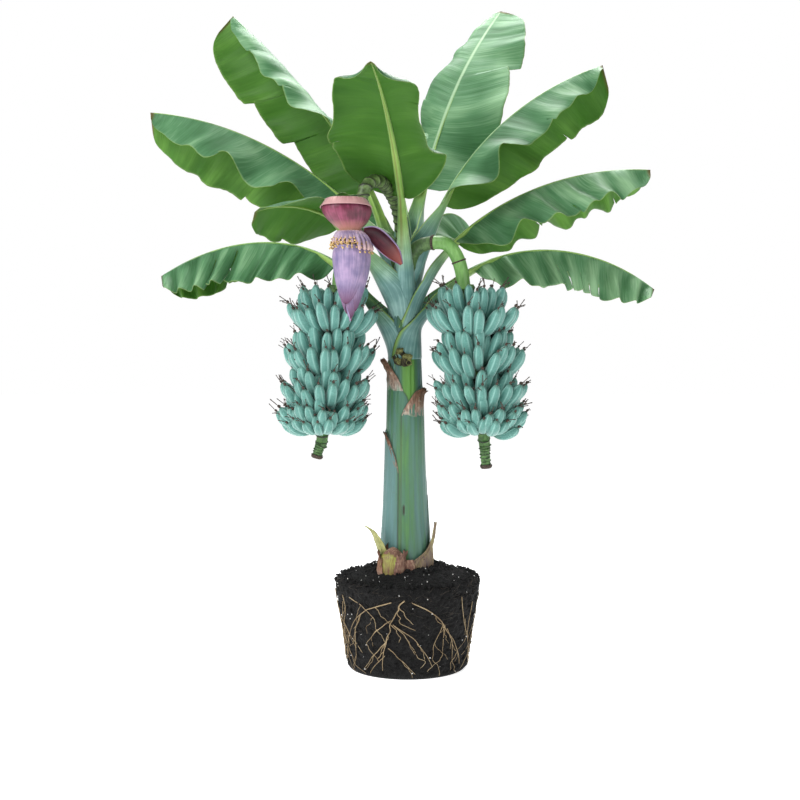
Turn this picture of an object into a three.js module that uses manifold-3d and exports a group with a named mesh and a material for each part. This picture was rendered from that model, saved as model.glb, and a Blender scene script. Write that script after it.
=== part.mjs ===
// A banana plant on its root ball: pseudostem, twelve leaves, a flower and two bunches of fruit.
// Millimetres, +Z up, origin at the centre of the root ball's underside, front towards -Y.
import * as THREE from 'three';
import { mergeVertices } from 'three/addons/utils/BufferGeometryUtils.js';
import Module from 'manifold-3d';

const wasm = await Module();
wasm.setup();

// ---------------------------------------------------------------- driving dimensions
const GAP = 0.3; // clearance that neighbouring pieces keep
const ROOT_BALL = { height: 458, topRadius: 364, bottomRadius: 298, sides: 24, unevenness: 9 };
const STEM = { socketDepth: 60, sides: 14, crownHeight: 2040 };
const LIMB_SIDES = 8;
const PETIOLE = { foot: 150, steps: 5, baseWide: 43, baseThick: 27, endWide: 22, endThick: 20 };
const BLADE = { ribTop: 11, ribBottom: 4, ribHalfWidth: 8, edge: 2.5 };
const FRUIT_STALK_RADIUS = 33;
const FLOWER_STALK_RADIUS = 28;
const BUNCH = { handCount: 5, radius: 236, sides: 14, unevenness: 4, tailRadius: 27 };

// ---------------------------------------------------------------- materials
const paint = (color, roughness) => new THREE.MeshStandardMaterial({ color, roughness, metalness: 0 });
const SOIL = paint('#2a2522', 0.95);
const STEM_SKIN = paint('#5f8a74', 0.55);
const PETIOLE_SKIN = paint('#7aa878', 0.5);
const LEAF = paint('#4f8040', 0.45);
const DRY_SHEATH = paint('#5e4632', 0.85);
const FRUIT_STALK = paint('#6e9c52', 0.5);
const FLOWER_STALK = paint('#4d5638', 0.7);
const BRACT = paint('#8f80a6', 0.55);
const FLORETS = paint('#c79a55', 0.7);
const FRUIT = paint('#578f86', 0.5);

// ---------------------------------------------------------------- leaves
// A leaf's stalk and midrib form one line: it leaves `base` in the direction `azimuth` (0 = +X, 90 = +Y)
// at `rise` degrees above level, loses `bend` degrees over the stalk and `droop` over the blade, and
// swings by `sway`. Each half of the blade hangs from the midrib: `folds` are its angles to the midrib's
// own sideways direction at equal steps from base to tip (negative hangs down), `curl` adds an angle
// towards the margin and `wave` ripples it.
const half = (width, baseFullness, tipFullness, curl, wave, waves, phase, folds) => (
  { width, baseFullness, tipFullness, curl, wave, waves, phase, folds });

const LEAVES = [
  { name: 'low_left', base: [-30, 10, 1600], azimuth: 163, sway: 5, rise: 66, bend: 28, droop: 70,
    droopPower: 0.7, stalk: 550, blade: 1030,
    right: half(220, 0.6, 0.25, -15, 6, 1.7, 0.02, [-35, -40, -30, -45, -80, -80]),
    left: half(240, 0.29, 0.22, -5, 14, 3.1, -0.2, [-72, -52, -65, -55, -50, -30]) },
  { name: 'left', base: [-30, 20, 1980], azimuth: 176, sway: 1, rise: 66, bend: 27, droop: 35,
    droopPower: 1.3, stalk: 470, blade: 1090,
    right: half(320, 0.25, 0.25, 10, 8, 1.8, 0.24, [-80, -88, -85, -80, -65, -65]),
    left: half(270, 0.34, 0.5, 5, 9, 2.9, 0.51, [-35, -35, -50, -40, -50, -80]) },
  { name: 'high_left', base: [-30, 40, 1870], azimuth: 153, sway: 15, rise: 82, bend: 20, droop: 20,
    droopPower: 0.7, stalk: 560, blade: 1210,
    right: half(300, 0.38, 0.25, -20, 4, 1.9, -0.17, [-100, -90, -75, -85, -90, -90]),
    left: half(250, 0.4, 0.6, -60, 8, 3.4, 0.07, [40, 45, 25, 10, 10, -25]) },
  { name: 'front', base: [20, -50, 1860], azimuth: -103, sway: 2, rise: 70, bend: 11, droop: 43,
    droopPower: 1.2, stalk: 510, blade: 830,
    right: half(310, 0.4, 0.6, -60, 16, 2.2, 0.32, [35, 35, 10, 15, 20, 0]),
    left: half(280, 0.46, 0.6, -75, 18, 1.7, -0.27, [10, 25, 5, 10, 10, -5]) },
  { name: 'high_right', base: [0, 60, 2050], azimuth: 66, sway: -20, rise: 71, bend: 13, droop: 13,
    droopPower: 1.5, stalk: 410, blade: 1330,
    right: half(320, 0.36, 0.35, -5, 14, 2.3, 0.12, [-35, -35, -25, -10, -15, -25]),
    left: half(250, 0.6, 0.25, -65, 6, 3.2, -0.5, [5, -5, 15, 25, 10, 15]) },
  { name: 'right', base: [20, 20, 2030], azimuth: 2, sway: -1, rise: 64, bend: 1, droop: 45,
    droopPower: 1, stalk: 320, blade: 1090,
    right: half(280, 0.25, 0.55, 0, 15, 3, 0, [-5, -30, -30, -45, -45, -45]),
    left: half(300, 0.4, 0.25, 5, 6, 1.8, 0.57, [-80, -90, -85, -65, -70, -95]) },
  { name: 'mid_right', base: [0, 0, 1810], azimuth: -1, sway: 12, rise: 66, bend: 22, droop: 46,
    droopPower: 0.9, stalk: 400, blade: 1090,
    right: half(250, 0.34, 0.44, 5, 12, 3.1, 0.15, [-35, -50, -40, -55, -40, -70]),
    left: half(290, 0.42, 0.36, 30, 6, 2.4, -0.06, [-95, -80, -60, -65, -60, -65]) },
  { name: 'low_right', base: [0, 10, 1720], azimuth: 16, sway: -6, rise: 52, bend: 23, droop: 66,
    droopPower: 0.9, stalk: 440, blade: 1060,
    right: half(220, 0.25, 0.25, -5, 18, 3.5, 0.32, [-50, -55, -75, -80, -75, -30]),
    left: half(260, 0.58, 0.47, 35, 5, 2, 0.52, [-55, -60, -55, -40, -45, -60]) },
  { name: 'front_left', base: [-20, -50, 1830], azimuth: -152, sway: 20, rise: 59, bend: 23, droop: 57,
    droopPower: 0.8, stalk: 490, blade: 520,
    right: half(180, 0.35, 0.55, -40, 4, 2.4, -0.31, [70, 60, 35, 25, 25, 35]),
    left: half(220, 0.25, 0.36, 0, 2, 3.5, -0.65, [-25, -40, -45, -50, -45, -50]) },
  { name: 'back_right', base: [10, 50, 1920], azimuth: 68, sway: 0, rise: 62, bend: 22, droop: 70,
    droopPower: 0.9, stalk: 340, blade: 850,
    right: half(200, 0.3, 0.45, -10, 8, 2.5, 0.1, [-25, -45, -55, -55, -55, -50]),
    left: half(220, 0.4, 0.4, -10, 8, 2.5, 0.6, [-55, -50, -45, -45, -45, -45]) },
  { name: 'back_left', base: [-20, 50, 1940], azimuth: 120, sway: 8, rise: 64, bend: 14, droop: 62,
    droopPower: 0.9, stalk: 360, blade: 950,
    right: half(240, 0.4, 0.45, -10, 8, 2.5, 0.3, [-60, -50, -45, -45, -45, -45]),
    left: half(240, 0.3, 0.4, -10, 8, 2.5, 0.7, [-30, -45, -50, -50, -50, -50]) },
  { name: 'back', base: [-8, 62, 2000], azimuth: 106, sway: -6, rise: 82, bend: 20, droop: 55,
    droopPower: 1.1, stalk: 400, blade: 1100,
    right: half(240, 0.4, 0.4, -10, 8, 2.5, 0.2, [35, 20, 0, -15, -20, -30]),
    left: half(240, 0.4, 0.4, -10, 8, 2.5, 0.8, [35, 20, 0, -15, -20, -30]) },
];

// ---------------------------------------------------------------- stems, stalks, flower and fruit
// Stations of the pseudostem: height, centre in x, radius.
const STEM_STATIONS = [
  [ROOT_BALL.height - STEM.socketDepth, -8, 134], [480, -8, 130], [560, -9, 122], [675, -10, 116],
  [810, -11, 107], [1065, -12, 97], [1375, -13, 90], [1605, -14, 82], [1720, -14, 78],
  [1830, -13, 70], [1930, -10, 58], [2000, -6, 44], [STEM.crownHeight, -2, 20],
];

// Centre lines of the curved stalks, each parted at its bend.
const LEFT_STALK = {
  rise: [[-40, -22, 1990], [-70, -40, 2100], [-138, -66, 2158], [-215, -84, 2160]],
  drop: [[-216, -84, 2160], [-290, -98, 2100], [-325, -100, 2010], [-340, -100, 1885]],
};
const RIGHT_STALK = {
  rise: [[0, -25, 1985], [24, -58, 2062], [66, -100, 2102], [122, -130, 2116]],
  drop: [[123, -130, 2116], [186, -150, 2108], [234, -150, 2056], [262, -148, 1980], [276, -145, 1885]],
};
const FLOWER_RISE = [[-26, -30, 2010], [-42, -80, 2150], [-61, -160, 2290], [-93, -240, 2374], [-122, -296, 2404]];
const FLOWER_DROP = [[-123, -297, 2404], [-160, -362, 2398], [-192, -400, 2358], [-212, -410, 2288]];

// Each bunch hangs between two points of its own axis; its tail goes on below the lowest hand.
const BUNCHES = [
  { side: 'left', top: [-352, -100, 1903], bottom: [-420, -100, 1165], tail: [-447, -100, 1070], stalk: LEFT_STALK },
  { side: 'right', top: [292, -145, 1903], bottom: [374, -145, 1165], tail: [385, -145, 1025], stalk: RIGHT_STALK },
];

// Flower pieces as stacks of [height, centre x, centre y, half-width, half-depth].
const FLOWER_TOP_BRACT = [
  [2150, -270, -410, 60, 60], [2176, -271, -411, 82, 76], [2212, -276, -413, 106, 96],
  [2255, -284, -414, 114, 102], [2288, -284, -412, 100, 90], [2304, -270, -410, 74, 70],
];
const FLOWER_HAND = [
  [2070, -266, -410, 84, 84], [2084, -266, -410, 94, 92], [2112, -266, -410, 78, 76], [2149.7, -268, -410, 56, 56],
];
const FLOWER_BUD = [
  [1722, -270, -410, 7, 7], [1752, -269, -410, 26, 26], [1800, -267, -410, 46, 46], [1860, -264, -410, 64, 64],
  [1930, -261, -410, 82, 82], [2000, -259, -410, 93, 92], [2045, -261, -410, 90, 88], [2069.7, -263, -410, 76, 76],
];
// The raised side bract: centre line and half-widths across it.
const SIDE_BRACT = {
  line: [[-208, -420, 2112], [-168, -414, 2142], [-120, -402, 2128], [-78, -390, 2072], [-46, -378, 2004]],
  halfWidths: [24, 40, 50, 40, 12],
  thickness: 9,
};

// Dry sheath ends that lie on the pseudostem: [angle round the stem, height, half-width] along each.
const DRY_SHEATHS = [
  { name: 'sheath_left', thickness: 10, route: [[205, 1560, 12], [222, 1500, 22], [243, 1430, 36], [262, 1380, 18]] },
  { name: 'sheath_right', thickness: 10, route: [[298, 1425, 46], [292, 1370, 40], [286, 1310, 24], [284, 1262, 8]] },
  { name: 'sheath_low_left', thickness: 10, route: [[203, 1184, 14], [216, 1130, 20], [232, 1040, 14], [244, 915, 6]] },
  { name: 'scar_tuft', thickness: 16, route: [[252, 1600, 30], [258, 1570, 44], [266, 1530, 42], [272, 1500, 20]] },
];

// Young growth at the foot of the stem: centre line points and radii.
const BASE_GROWTH = [
  { name: 'sucker_bud', line: [[-66, -150, 440], [-64, -152, 520], [-60, -148, 580], [-58, -138, 655]],
    radii: [46, 56, 46, 10] },
  { name: 'spike_bract_left', line: [[-118, -90, 440], [-142, -104, 540], [-172, -108, 620], [-214, -108, 712]],
    radii: [34, 36, 24, 5] },
  { name: 'bract_right', line: [[84, -122, 440], [92, -128, 530], [96, -124, 590], [112, -112, 640], [150, -102, 722]],
    radii: [40, 46, 34, 16, 5] },
  { name: 'bract_front', line: [[14, -158, 440], [16, -162, 508], [18, -158, 556]], radii: [30, 26, 8] },
];

// ---------------------------------------------------------------- geometry helpers
const UP = new THREE.Vector3(0, 0, 1);
const radians = THREE.MathUtils.degToRad;
const point = ([x, y, z]) => new THREE.Vector3(x, y, z);

function centreOf(ring) {
  return ring.reduce((sum, p) => sum.add(p), new THREE.Vector3()).divideScalar(ring.length);
}

/** Moves the ring at one end `grow` mm further from its neighbour. */
function pushOut(ring, neighbour, grow) {
  const shift = centreOf(ring).sub(centreOf(neighbour)).setLength(grow);
  ring.forEach((p) => p.add(shift));
}

/**
 * Closed skin over rings of equally many points. Each end is closed by strips across its ring.
 * The far side's diagonals mirror the near side's, so that a thin blade's two faces stay parallel.
 */
function loft(rings, grow = 0) {
  const sides = rings[0].length;
  if (grow > 0) {
    pushOut(rings[0], rings[1], grow);
    pushOut(rings.at(-1), rings.at(-2), grow);
  }
  const index = [];
  for (let r = 0; r + 1 < rings.length; r += 1) {
    for (let s = 0; s < sides; s += 1) {
      const a = r * sides + s;
      const b = r * sides + ((s + 1) % sides);
      if (s < sides / 2) {
        index.push(a, b, b + sides, a, b + sides, a + sides);
      } else {
        index.push(a, b, a + sides, b, b + sides, a + sides);
      }
    }
  }
  const last = (rings.length - 1) * sides;
  for (let s = 0; s < sides / 2 - 1; s += 1) {
    const [a, b, c, d] = [s, s + 1, sides - 2 - s, sides - 1 - s];
    if (b !== c) {
      index.push(a, c, b);
      index.push(last + a, last + b, last + c);
    }
    index.push(a, d, c);
    index.push(last + a, last + c, last + d);
  }
  const geometry = new THREE.BufferGeometry();
  const positions = rings.flat().flatMap((p) => [p.x, p.y, p.z]);
  geometry.setAttribute('position', new THREE.Float32BufferAttribute(positions, 3));
  geometry.setIndex(index);
  return facingOut(geometry);
}

function signedVolume(geometry) {
  const position = geometry.getAttribute('position');
  const index = geometry.getIndex().array;
  const corners = [new THREE.Vector3(), new THREE.Vector3(), new THREE.Vector3()];
  let volume = 0;
  for (let i = 0; i < index.length; i += 3) {
    corners.forEach((corner, k) => corner.fromBufferAttribute(position, index[i + k]));
    volume += corners[0].dot(corners[1].clone().cross(corners[2])) / 6;
  }
  return volume;
}

function facingOut(geometry) {
  if (signedVolume(geometry) < 0) {
    geometry.getIndex().array.reverse();
  }
  return geometry;
}

/** Ellipse of `sides` points round a centre, in the plane of two directions. */
function ellipse(centre, across, along, halfAcross, halfAlong, sides) {
  return Array.from({ length: sides }, (_, s) => {
    const angle = (2 * Math.PI * (s + 0.5)) / sides;
    return centre.clone()
      .addScaledVector(across, halfAcross * Math.cos(angle))
      .addScaledVector(along, halfAlong * Math.sin(angle));
  });
}

/** Tapering limb through points with a radius at each. */
function limb(points, radii, steps, grow, sides = LIMB_SIDES) {
  const curve = new THREE.CatmullRomCurve3(points.map(point), false, 'centripetal');
  const frames = curve.computeFrenetFrames(steps, false);
  const rings = [];
  for (let i = 0; i <= steps; i += 1) {
    const place = (i / steps) * (points.length - 1);
    const from = Math.min(Math.floor(place), points.length - 2);
    const radius = THREE.MathUtils.lerp(radii[from], radii[from + 1], place - from) + grow;
    rings.push(ellipse(curve.getPoint(i / steps), frames.binormals[i], frames.normals[i], radius, radius, sides));
  }
  return loft(rings, grow);
}

/** Upright stack of level ellipses given as [height, centre x, centre y, half-width, half-depth]. */
function stack(stations, sides, grow, unevenness = 0) {
  const x = new THREE.Vector3(1, 0, 0);
  const y = new THREE.Vector3(0, 1, 0);
  return loft(stations.map(([z, cx, cy, halfWidth, halfDepth], level) => {
    const ring = ellipse(new THREE.Vector3(cx, cy, z), x, y, halfWidth + grow, halfDepth + grow, sides);
    ring.forEach((p) => {
      const angle = Math.atan2(p.y - cy, p.x - cx);
      const swell = unevenness * (Math.sin(3 * angle + level) + 0.7 * Math.sin(5 * angle - 2 * level));
      p.x += swell * Math.cos(angle);
      p.y += swell * Math.sin(angle);
    });
    return ring;
  }), grow);
}

// ---------------------------------------------------------------- solids
function toSolid(geometry) {
  const bare = geometry.clone();
  bare.deleteAttribute('normal');
  bare.deleteAttribute('uv');
  const merged = mergeVertices(bare, 1e-3);
  return new wasm.Manifold(new wasm.Mesh({
    numProp: 3,
    vertProperties: new Float32Array(merged.getAttribute('position').array),
    triVerts: new Uint32Array(merged.getIndex().array),
  }));
}

function toGeometry(solid) {
  const mesh = solid.getMesh();
  const geometry = new THREE.BufferGeometry();
  geometry.setAttribute('position', new THREE.Float32BufferAttribute(mesh.vertProperties, 3));
  geometry.setIndex(Array.from(mesh.triVerts));
  return geometry;
}

const group = new THREE.Group();
const placed = []; // pieces so far, each with the slightly larger solid that later pieces keep clear of

/** Adds a piece. `build(grow)` makes its skin, `grow` mm larger; where it meets earlier pieces it is cut back. */
function place(name, material, build, { sameLimb = [] } = {}) {
  let solid = toSolid(build(0));
  for (const other of placed) {
    if (sameLimb.includes(other.name)) {
      continue;
    }
    if (solid.intersect(other.grown).volume() > 0) {
      solid = solid.subtract(other.grown);
    }
  }
  const pieces = solid.decompose();
  const largest = pieces.reduce((a, b) => (a.volume() > b.volume() ? a : b));
  placed.push({ name, grown: toSolid(build(GAP)) });
  const geometry = toGeometry(largest);
  geometry.computeVertexNormals();
  const mesh = new THREE.Mesh(geometry, material);
  mesh.name = name;
  group.add(mesh);
}

// ---------------------------------------------------------------- leaf geometry
/** Catmull-Rom value at u (0 to 1) through equally spaced stations. */
function along(stations, u) {
  const last = stations.length - 1;
  const x = Math.min(Math.max(u * last, 0), last - 1e-9);
  const i = Math.floor(x);
  const f = x - i;
  const at = (k) => stations[Math.min(Math.max(k, 0), last)];
  const [a, b, c, d] = [at(i - 1), at(i), at(i + 1), at(i + 2)];
  return 0.5 * (2 * b + (c - a) * f + (2 * a - 5 * b + 4 * c - d) * f * f + (3 * b - a - 3 * c + d) * f ** 3);
}

/** Half-blade width at u: zero at both ends, fullest between them. */
function halfWidth({ width, baseFullness: a, tipFullness: b }, u) {
  const peak = (a / (a + b)) ** a * (b / (a + b)) ** b;
  return (width * Math.max(u, 0) ** a * Math.max(1 - u, 0) ** b) / peak;
}

/** Frames along a leaf's stalk and midrib, by distance from its base. */
function leafLine(leaf) {
  const fineStep = 5;
  const length = leaf.stalk + leaf.blade;
  const count = Math.round(length / fineStep);
  const step = length / count;
  const place = point(leaf.base);
  const frames = [];
  for (let i = 0; i <= count; i += 1) {
    const s = i * step;
    const onStalk = Math.min(s / leaf.stalk, 1);
    const onBlade = Math.max((s - leaf.stalk) / leaf.blade, 0);
    const rise = radians(leaf.rise - leaf.bend * onStalk - leaf.droop * onBlade ** leaf.droopPower);
    const azimuth = radians(leaf.azimuth + leaf.sway * onBlade);
    const level = new THREE.Vector3(Math.cos(azimuth), Math.sin(azimuth), 0);
    const forward = level.clone().multiplyScalar(Math.cos(rise)).addScaledVector(UP, Math.sin(rise));
    const upper = level.clone().multiplyScalar(-Math.sin(rise)).addScaledVector(UP, Math.cos(rise));
    if (i > 0) {
      place.addScaledVector(frames[i - 1].forward.clone().add(forward), step / 2);
    }
    frames.push({ centre: place.clone(), forward, upper, sideways: forward.clone().cross(upper) });
  }
  return (s) => {
    const x = Math.min(Math.max(s / step, 0), count - 1e-9);
    const [a, b] = [frames[Math.floor(x)], frames[Math.floor(x) + 1]];
    const mix = (key) => a[key].clone().lerp(b[key], x - Math.floor(x));
    return { centre: mix('centre'), upper: mix('upper').normalize(), sideways: mix('sideways').normalize() };
  };
}

function leafStalk(leaf, grow) {
  const line = leafLine(leaf);
  const start = line(0);
  const foot = new THREE.Vector3(stemRadiusAt(leaf.base[2] - PETIOLE.foot).x, 0, leaf.base[2] - PETIOLE.foot);
  const rings = [
    ellipse(foot, start.sideways, start.upper, PETIOLE.baseWide * 0.6 + grow, PETIOLE.baseThick * 0.6 + grow, LIMB_SIDES),
  ];
  for (let i = 0; i <= PETIOLE.steps; i += 1) {
    const t = i / PETIOLE.steps;
    const { centre, upper, sideways } = line(t * leaf.stalk);
    const slim = 1 - (1 - t) ** 1.6;
    const wide = THREE.MathUtils.lerp(PETIOLE.baseWide, PETIOLE.endWide, slim) + grow;
    const thick = THREE.MathUtils.lerp(PETIOLE.baseThick, PETIOLE.endThick, slim) + grow;
    rings.push(ellipse(centre, sideways, upper, wide, thick, LIMB_SIDES));
  }
  return loft(rings, grow);
}

/** Points across one half-blade at u, with the direction that its upper face looks. */
function acrossHalf(leaf, frame, side, u, columns, grow) {
  const form = side > 0 ? leaf.right : leaf.left;
  const width = Math.max(halfWidth(form, u), BLADE.ribHalfWidth) + grow;
  const fold = along(form.folds, u);
  const ripple = form.wave * Math.sin(2 * Math.PI * (form.waves * u + form.phase));
  const place = frame.centre.clone();
  return Array.from({ length: columns }, (_, j) => {
    const t = (j + 0.5) / columns;
    const angle = radians(fold + form.curl * t + ripple * Math.min(1, 1.5 * t));
    place.addScaledVector(frame.sideways, (side * Math.cos(angle) * width) / columns);
    place.addScaledVector(frame.upper, (Math.sin(angle) * width) / columns);
    const face = frame.sideways.clone().multiplyScalar(-side * Math.sin(angle))
      .addScaledVector(frame.upper, Math.cos(angle));
    return { centre: place.clone(), face };
  });
}

const BLADE_STATIONS = [0.03, 0.12, 0.26, 0.42, 0.58, 0.74, 0.89, 0.975];

function leafBlade(leaf, grow) {
  const line = leafLine(leaf);
  const stations = [GAP / leaf.blade, ...BLADE_STATIONS, 0.9985];
  return loft(stations.map((u) => {
    const frame = line(leaf.stalk + u * leaf.blade);
    const leftHalf = acrossHalf(leaf, frame, -1, u, 2, grow);
    const rightHalf = acrossHalf(leaf, frame, 1, u, 2, grow);
    // the rib stands out along the halving line of the two half-blades' faces
    const rib = { centre: frame.centre, face: leftHalf[0].face.clone().add(rightHalf[0].face).normalize() };
    const row = [...leftHalf.reverse(), rib, ...rightHalf];
    const thin = 1 - 0.7 * u;
    const offset = (p, by) => p.centre.clone().addScaledVector(p.face, by);
    const upper = row.map((p) => offset(p, (p === rib ? BLADE.ribTop * thin : BLADE.edge) + grow));
    const lower = row.map((p) => offset(p, -(p === rib ? BLADE.ribBottom * thin : BLADE.edge) - grow));
    return [...upper, ...lower.reverse()];
  }), grow);
}

// ---------------------------------------------------------------- the plant
function rootBall(grow) {
  const { height, topRadius, bottomRadius, sides, unevenness } = ROOT_BALL;
  const levels = [[0, bottomRadius - 6], [35, bottomRadius + 4], [200, bottomRadius + 24], [360, topRadius - 8],
    [height - 26, topRadius], [height - 6, topRadius - 16], [height, topRadius - 60]];
  return stack(levels.map(([z, radius]) => [z, 0, 0, radius, radius]), sides, grow, unevenness);
}

function pseudostem(grow) {
  return stack(STEM_STATIONS.map(([z, x, radius]) => [z, x, 0, radius, radius]), STEM.sides, grow);
}

function stemRadiusAt(z) {
  const next = STEM_STATIONS.findIndex(([height]) => height >= z);
  const [z0, x0, r0] = STEM_STATIONS[next - 1];
  const [z1, x1, r1] = STEM_STATIONS[next];
  const f = (z - z0) / (z1 - z0);
  return { x: THREE.MathUtils.lerp(x0, x1, f), radius: THREE.MathUtils.lerp(r0, r1, f) };
}

/** A dry sheath end: a strip lying round the stem, its back sunk into the stem so that the cut seats it. */
function drySheath({ route, thickness }, grow) {
  const sunk = 8;
  return loft(route.map(([angle, z, half]) => {
    const { x, radius } = stemRadiusAt(z);
    const turn = half / radius;
    const at = (offset, depth) => new THREE.Vector3(
      x + (radius + depth) * Math.cos(radians(angle) + offset),
      (radius + depth) * Math.sin(radians(angle) + offset),
      z,
    );
    const edge = turn + grow / radius;
    return [at(-edge, thickness * 0.5 + grow), at(0, thickness + grow), at(edge, thickness * 0.5 + grow),
      at(edge, -sunk), at(0, -sunk), at(-edge, -sunk)];
  }), grow);
}

function sideBract(grow) {
  const curve = new THREE.CatmullRomCurve3(SIDE_BRACT.line.map(point), false, 'centripetal');
  const toViewer = new THREE.Vector3(-0.25, -1, 0.35).normalize();
  return loft(SIDE_BRACT.halfWidths.map((half, i) => {
    const u = i / (SIDE_BRACT.halfWidths.length - 1);
    const across = curve.getTangent(u).cross(toViewer).normalize();
    const out = across.clone().cross(curve.getTangent(u)).normalize();
    const centre = curve.getPoint(u);
    const at = (side, depth) => centre.clone().addScaledVector(across, side * (half + grow))
      .addScaledVector(out, depth - 0.35 * half * side * side);
    const thick = SIDE_BRACT.thickness / 2 + grow;
    return [at(-1, thick), at(0, thick), at(1, thick), at(1, -thick), at(0, -thick), at(-1, -thick)];
  }), grow);
}

/** One hand of fruit: an uneven disc whose rim is fullest above its middle. */
function fruitHand(bunch, order, grow) {
  const top = point(bunch.top);
  const bottom = point(bunch.bottom);
  const pitch = (top.z - bottom.z) / BUNCH.handCount;
  const zTop = top.z - order * pitch;
  const zBottom = zTop - pitch + GAP;
  const centreAt = (z) => bottom.clone().lerp(top, (z - bottom.z) / (top.z - bottom.z));
  const taper = [0.92, 1, 1, 1, 0.97][order];
  const profile = [[0, 0.62], [0.18, 0.86], [0.5, 1], [0.82, 0.98], [1, 0.72]];
  return stack(profile.map(([up, share]) => {
    const z = THREE.MathUtils.lerp(zBottom, zTop, up);
    const { x, y } = centreAt(z);
    const radius = BUNCH.radius * taper * share;
    return [z, x, y, radius, radius];
  }), BUNCH.sides, grow, BUNCH.unevenness);
}

place('pseudostem', STEM_SKIN, pseudostem);
place('root_ball', SOIL, rootBall);

const innermostFirst = [...LEAVES].sort((a, b) => b.base[2] - a.base[2]);
for (const leaf of innermostFirst) {
  place(`stalk_${leaf.name}`, PETIOLE_SKIN, (grow) => leafStalk(leaf, grow));
}

place('flower_stalk_rise', FLOWER_STALK, (grow) => limb(FLOWER_RISE, Array(5).fill(FLOWER_STALK_RADIUS), 8, grow));
place('flower_stalk_drop', FLOWER_STALK, (grow) => limb(FLOWER_DROP, Array(4).fill(FLOWER_STALK_RADIUS), 5, grow));
for (const { side, stalk } of BUNCHES) {
  const radii = Array(stalk.drop.length).fill(FRUIT_STALK_RADIUS);
  place(`fruit_stalk_${side}_rise`, FRUIT_STALK, (grow) => limb(stalk.rise, radii, 5, grow));
  place(`fruit_stalk_${side}_drop`, FRUIT_STALK, (grow) => limb(stalk.drop, radii, 6, grow));
}

for (const leaf of LEAVES) {
  place(`blade_${leaf.name}`, LEAF, (grow) => leafBlade(leaf, grow), { sameLimb: [`stalk_${leaf.name}`] });
}

place('flower_hand', FLORETS, (grow) => stack(FLOWER_HAND, 12, grow));
place('flower_bud', BRACT, (grow) => stack(FLOWER_BUD, 12, grow));
place('flower_bract_top', BRACT, (grow) => stack(FLOWER_TOP_BRACT, 12, grow));
place('flower_bract_side', BRACT, sideBract);

for (const bunch of BUNCHES) {
  const tailTop = point(bunch.bottom).lerp(point(bunch.top), 0.03).toArray();
  place(`fruit_tail_${bunch.side}`, FRUIT_STALK, (grow) => (
    limb([tailTop, bunch.tail], [BUNCH.tailRadius, BUNCH.tailRadius * 0.8], 2, grow)));
  for (let order = 0; order < BUNCH.handCount; order += 1) {
    place(`fruit_hand_${bunch.side}_${order + 1}`, FRUIT, (grow) => fruitHand(bunch, order, grow));
  }
}

for (const sheath of DRY_SHEATHS) {
  place(sheath.name, DRY_SHEATH, (grow) => drySheath(sheath, grow));
}
for (const growth of BASE_GROWTH) {
  place(growth.name, DRY_SHEATH, (grow) => limb(growth.line, growth.radii, 5, grow));
}

export default group;
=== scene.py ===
"""A banana plant on its bare root ball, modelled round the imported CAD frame. Metres, +Z up, front towards -Y."""
import math
from functools import cache
from typing import NamedTuple
import bpy
import numpy as np
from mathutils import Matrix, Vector, noise


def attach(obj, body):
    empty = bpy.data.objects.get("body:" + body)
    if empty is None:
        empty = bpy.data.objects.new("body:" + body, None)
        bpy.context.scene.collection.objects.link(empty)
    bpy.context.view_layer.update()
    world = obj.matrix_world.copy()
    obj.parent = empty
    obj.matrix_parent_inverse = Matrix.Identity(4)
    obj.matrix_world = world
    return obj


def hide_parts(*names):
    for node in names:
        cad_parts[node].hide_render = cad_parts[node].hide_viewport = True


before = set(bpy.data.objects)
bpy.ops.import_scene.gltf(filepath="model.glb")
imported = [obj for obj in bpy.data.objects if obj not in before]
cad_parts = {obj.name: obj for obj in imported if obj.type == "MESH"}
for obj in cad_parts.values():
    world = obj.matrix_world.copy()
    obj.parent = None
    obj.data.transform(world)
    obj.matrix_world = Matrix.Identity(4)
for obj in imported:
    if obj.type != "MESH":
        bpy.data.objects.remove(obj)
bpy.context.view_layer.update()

bl_info = {
    "name": "Banana plant",
    "version": (1, 0, 0),
    "blender": (4, 5, 0),
    "location": "View3D > Sidebar > Banana plant",
    "description": "Models a fruiting banana plant on its root ball",
    "category": "Add Mesh",
}

BODY = "root"
UP = np.array([0.0, 0.0, 1.0])
TAU = 2 * math.pi


# ---------------------------------------------------------------- colours and shader nodes
def linear(hex_value):
    """Linear red, green, blue and alpha of an sRGB hex colour."""
    channels = [int(hex_value[i:i + 2], 16) / 255 for i in (1, 3, 5)]
    return (*(c / 12.92 if c <= 0.04045 else ((c + 0.055) / 1.055) ** 2.4 for c in channels), 1.0)


def add(tree, kind, inputs=None, stops=None, **settings):
    """Adds a shader node: `inputs` gives sockets a value or another node's output, `stops` fills a colour ramp."""
    node = tree.nodes.new("ShaderNode" + kind)
    for key, value in settings.items():
        setattr(node, key, value)
    for key, value in (inputs or {}).items():
        if isinstance(value, bpy.types.NodeSocket):
            tree.links.new(value, node.inputs[key])
        else:
            node.inputs[key].default_value = value
    for order, (place, colour) in enumerate(stops or []):
        elements = node.color_ramp.elements
        stop = elements[order] if order < 2 else elements.new(place)
        stop.position = place
        stop.color = colour
    return node


def grey(value):
    return (value, value, value, 1.0)


def chosen(key):
    """Linear colour that the user may have changed."""
    return (*getattr(settings("colour"), key), 1.0)


def start_material(name):
    """An empty node tree for a material, and the coordinates that its patterns read."""
    material = bpy.data.materials.new(name)
    material.use_nodes = True
    tree = material.node_tree
    tree.nodes.clear()
    return material, tree, add(tree, "TexCoord")


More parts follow.
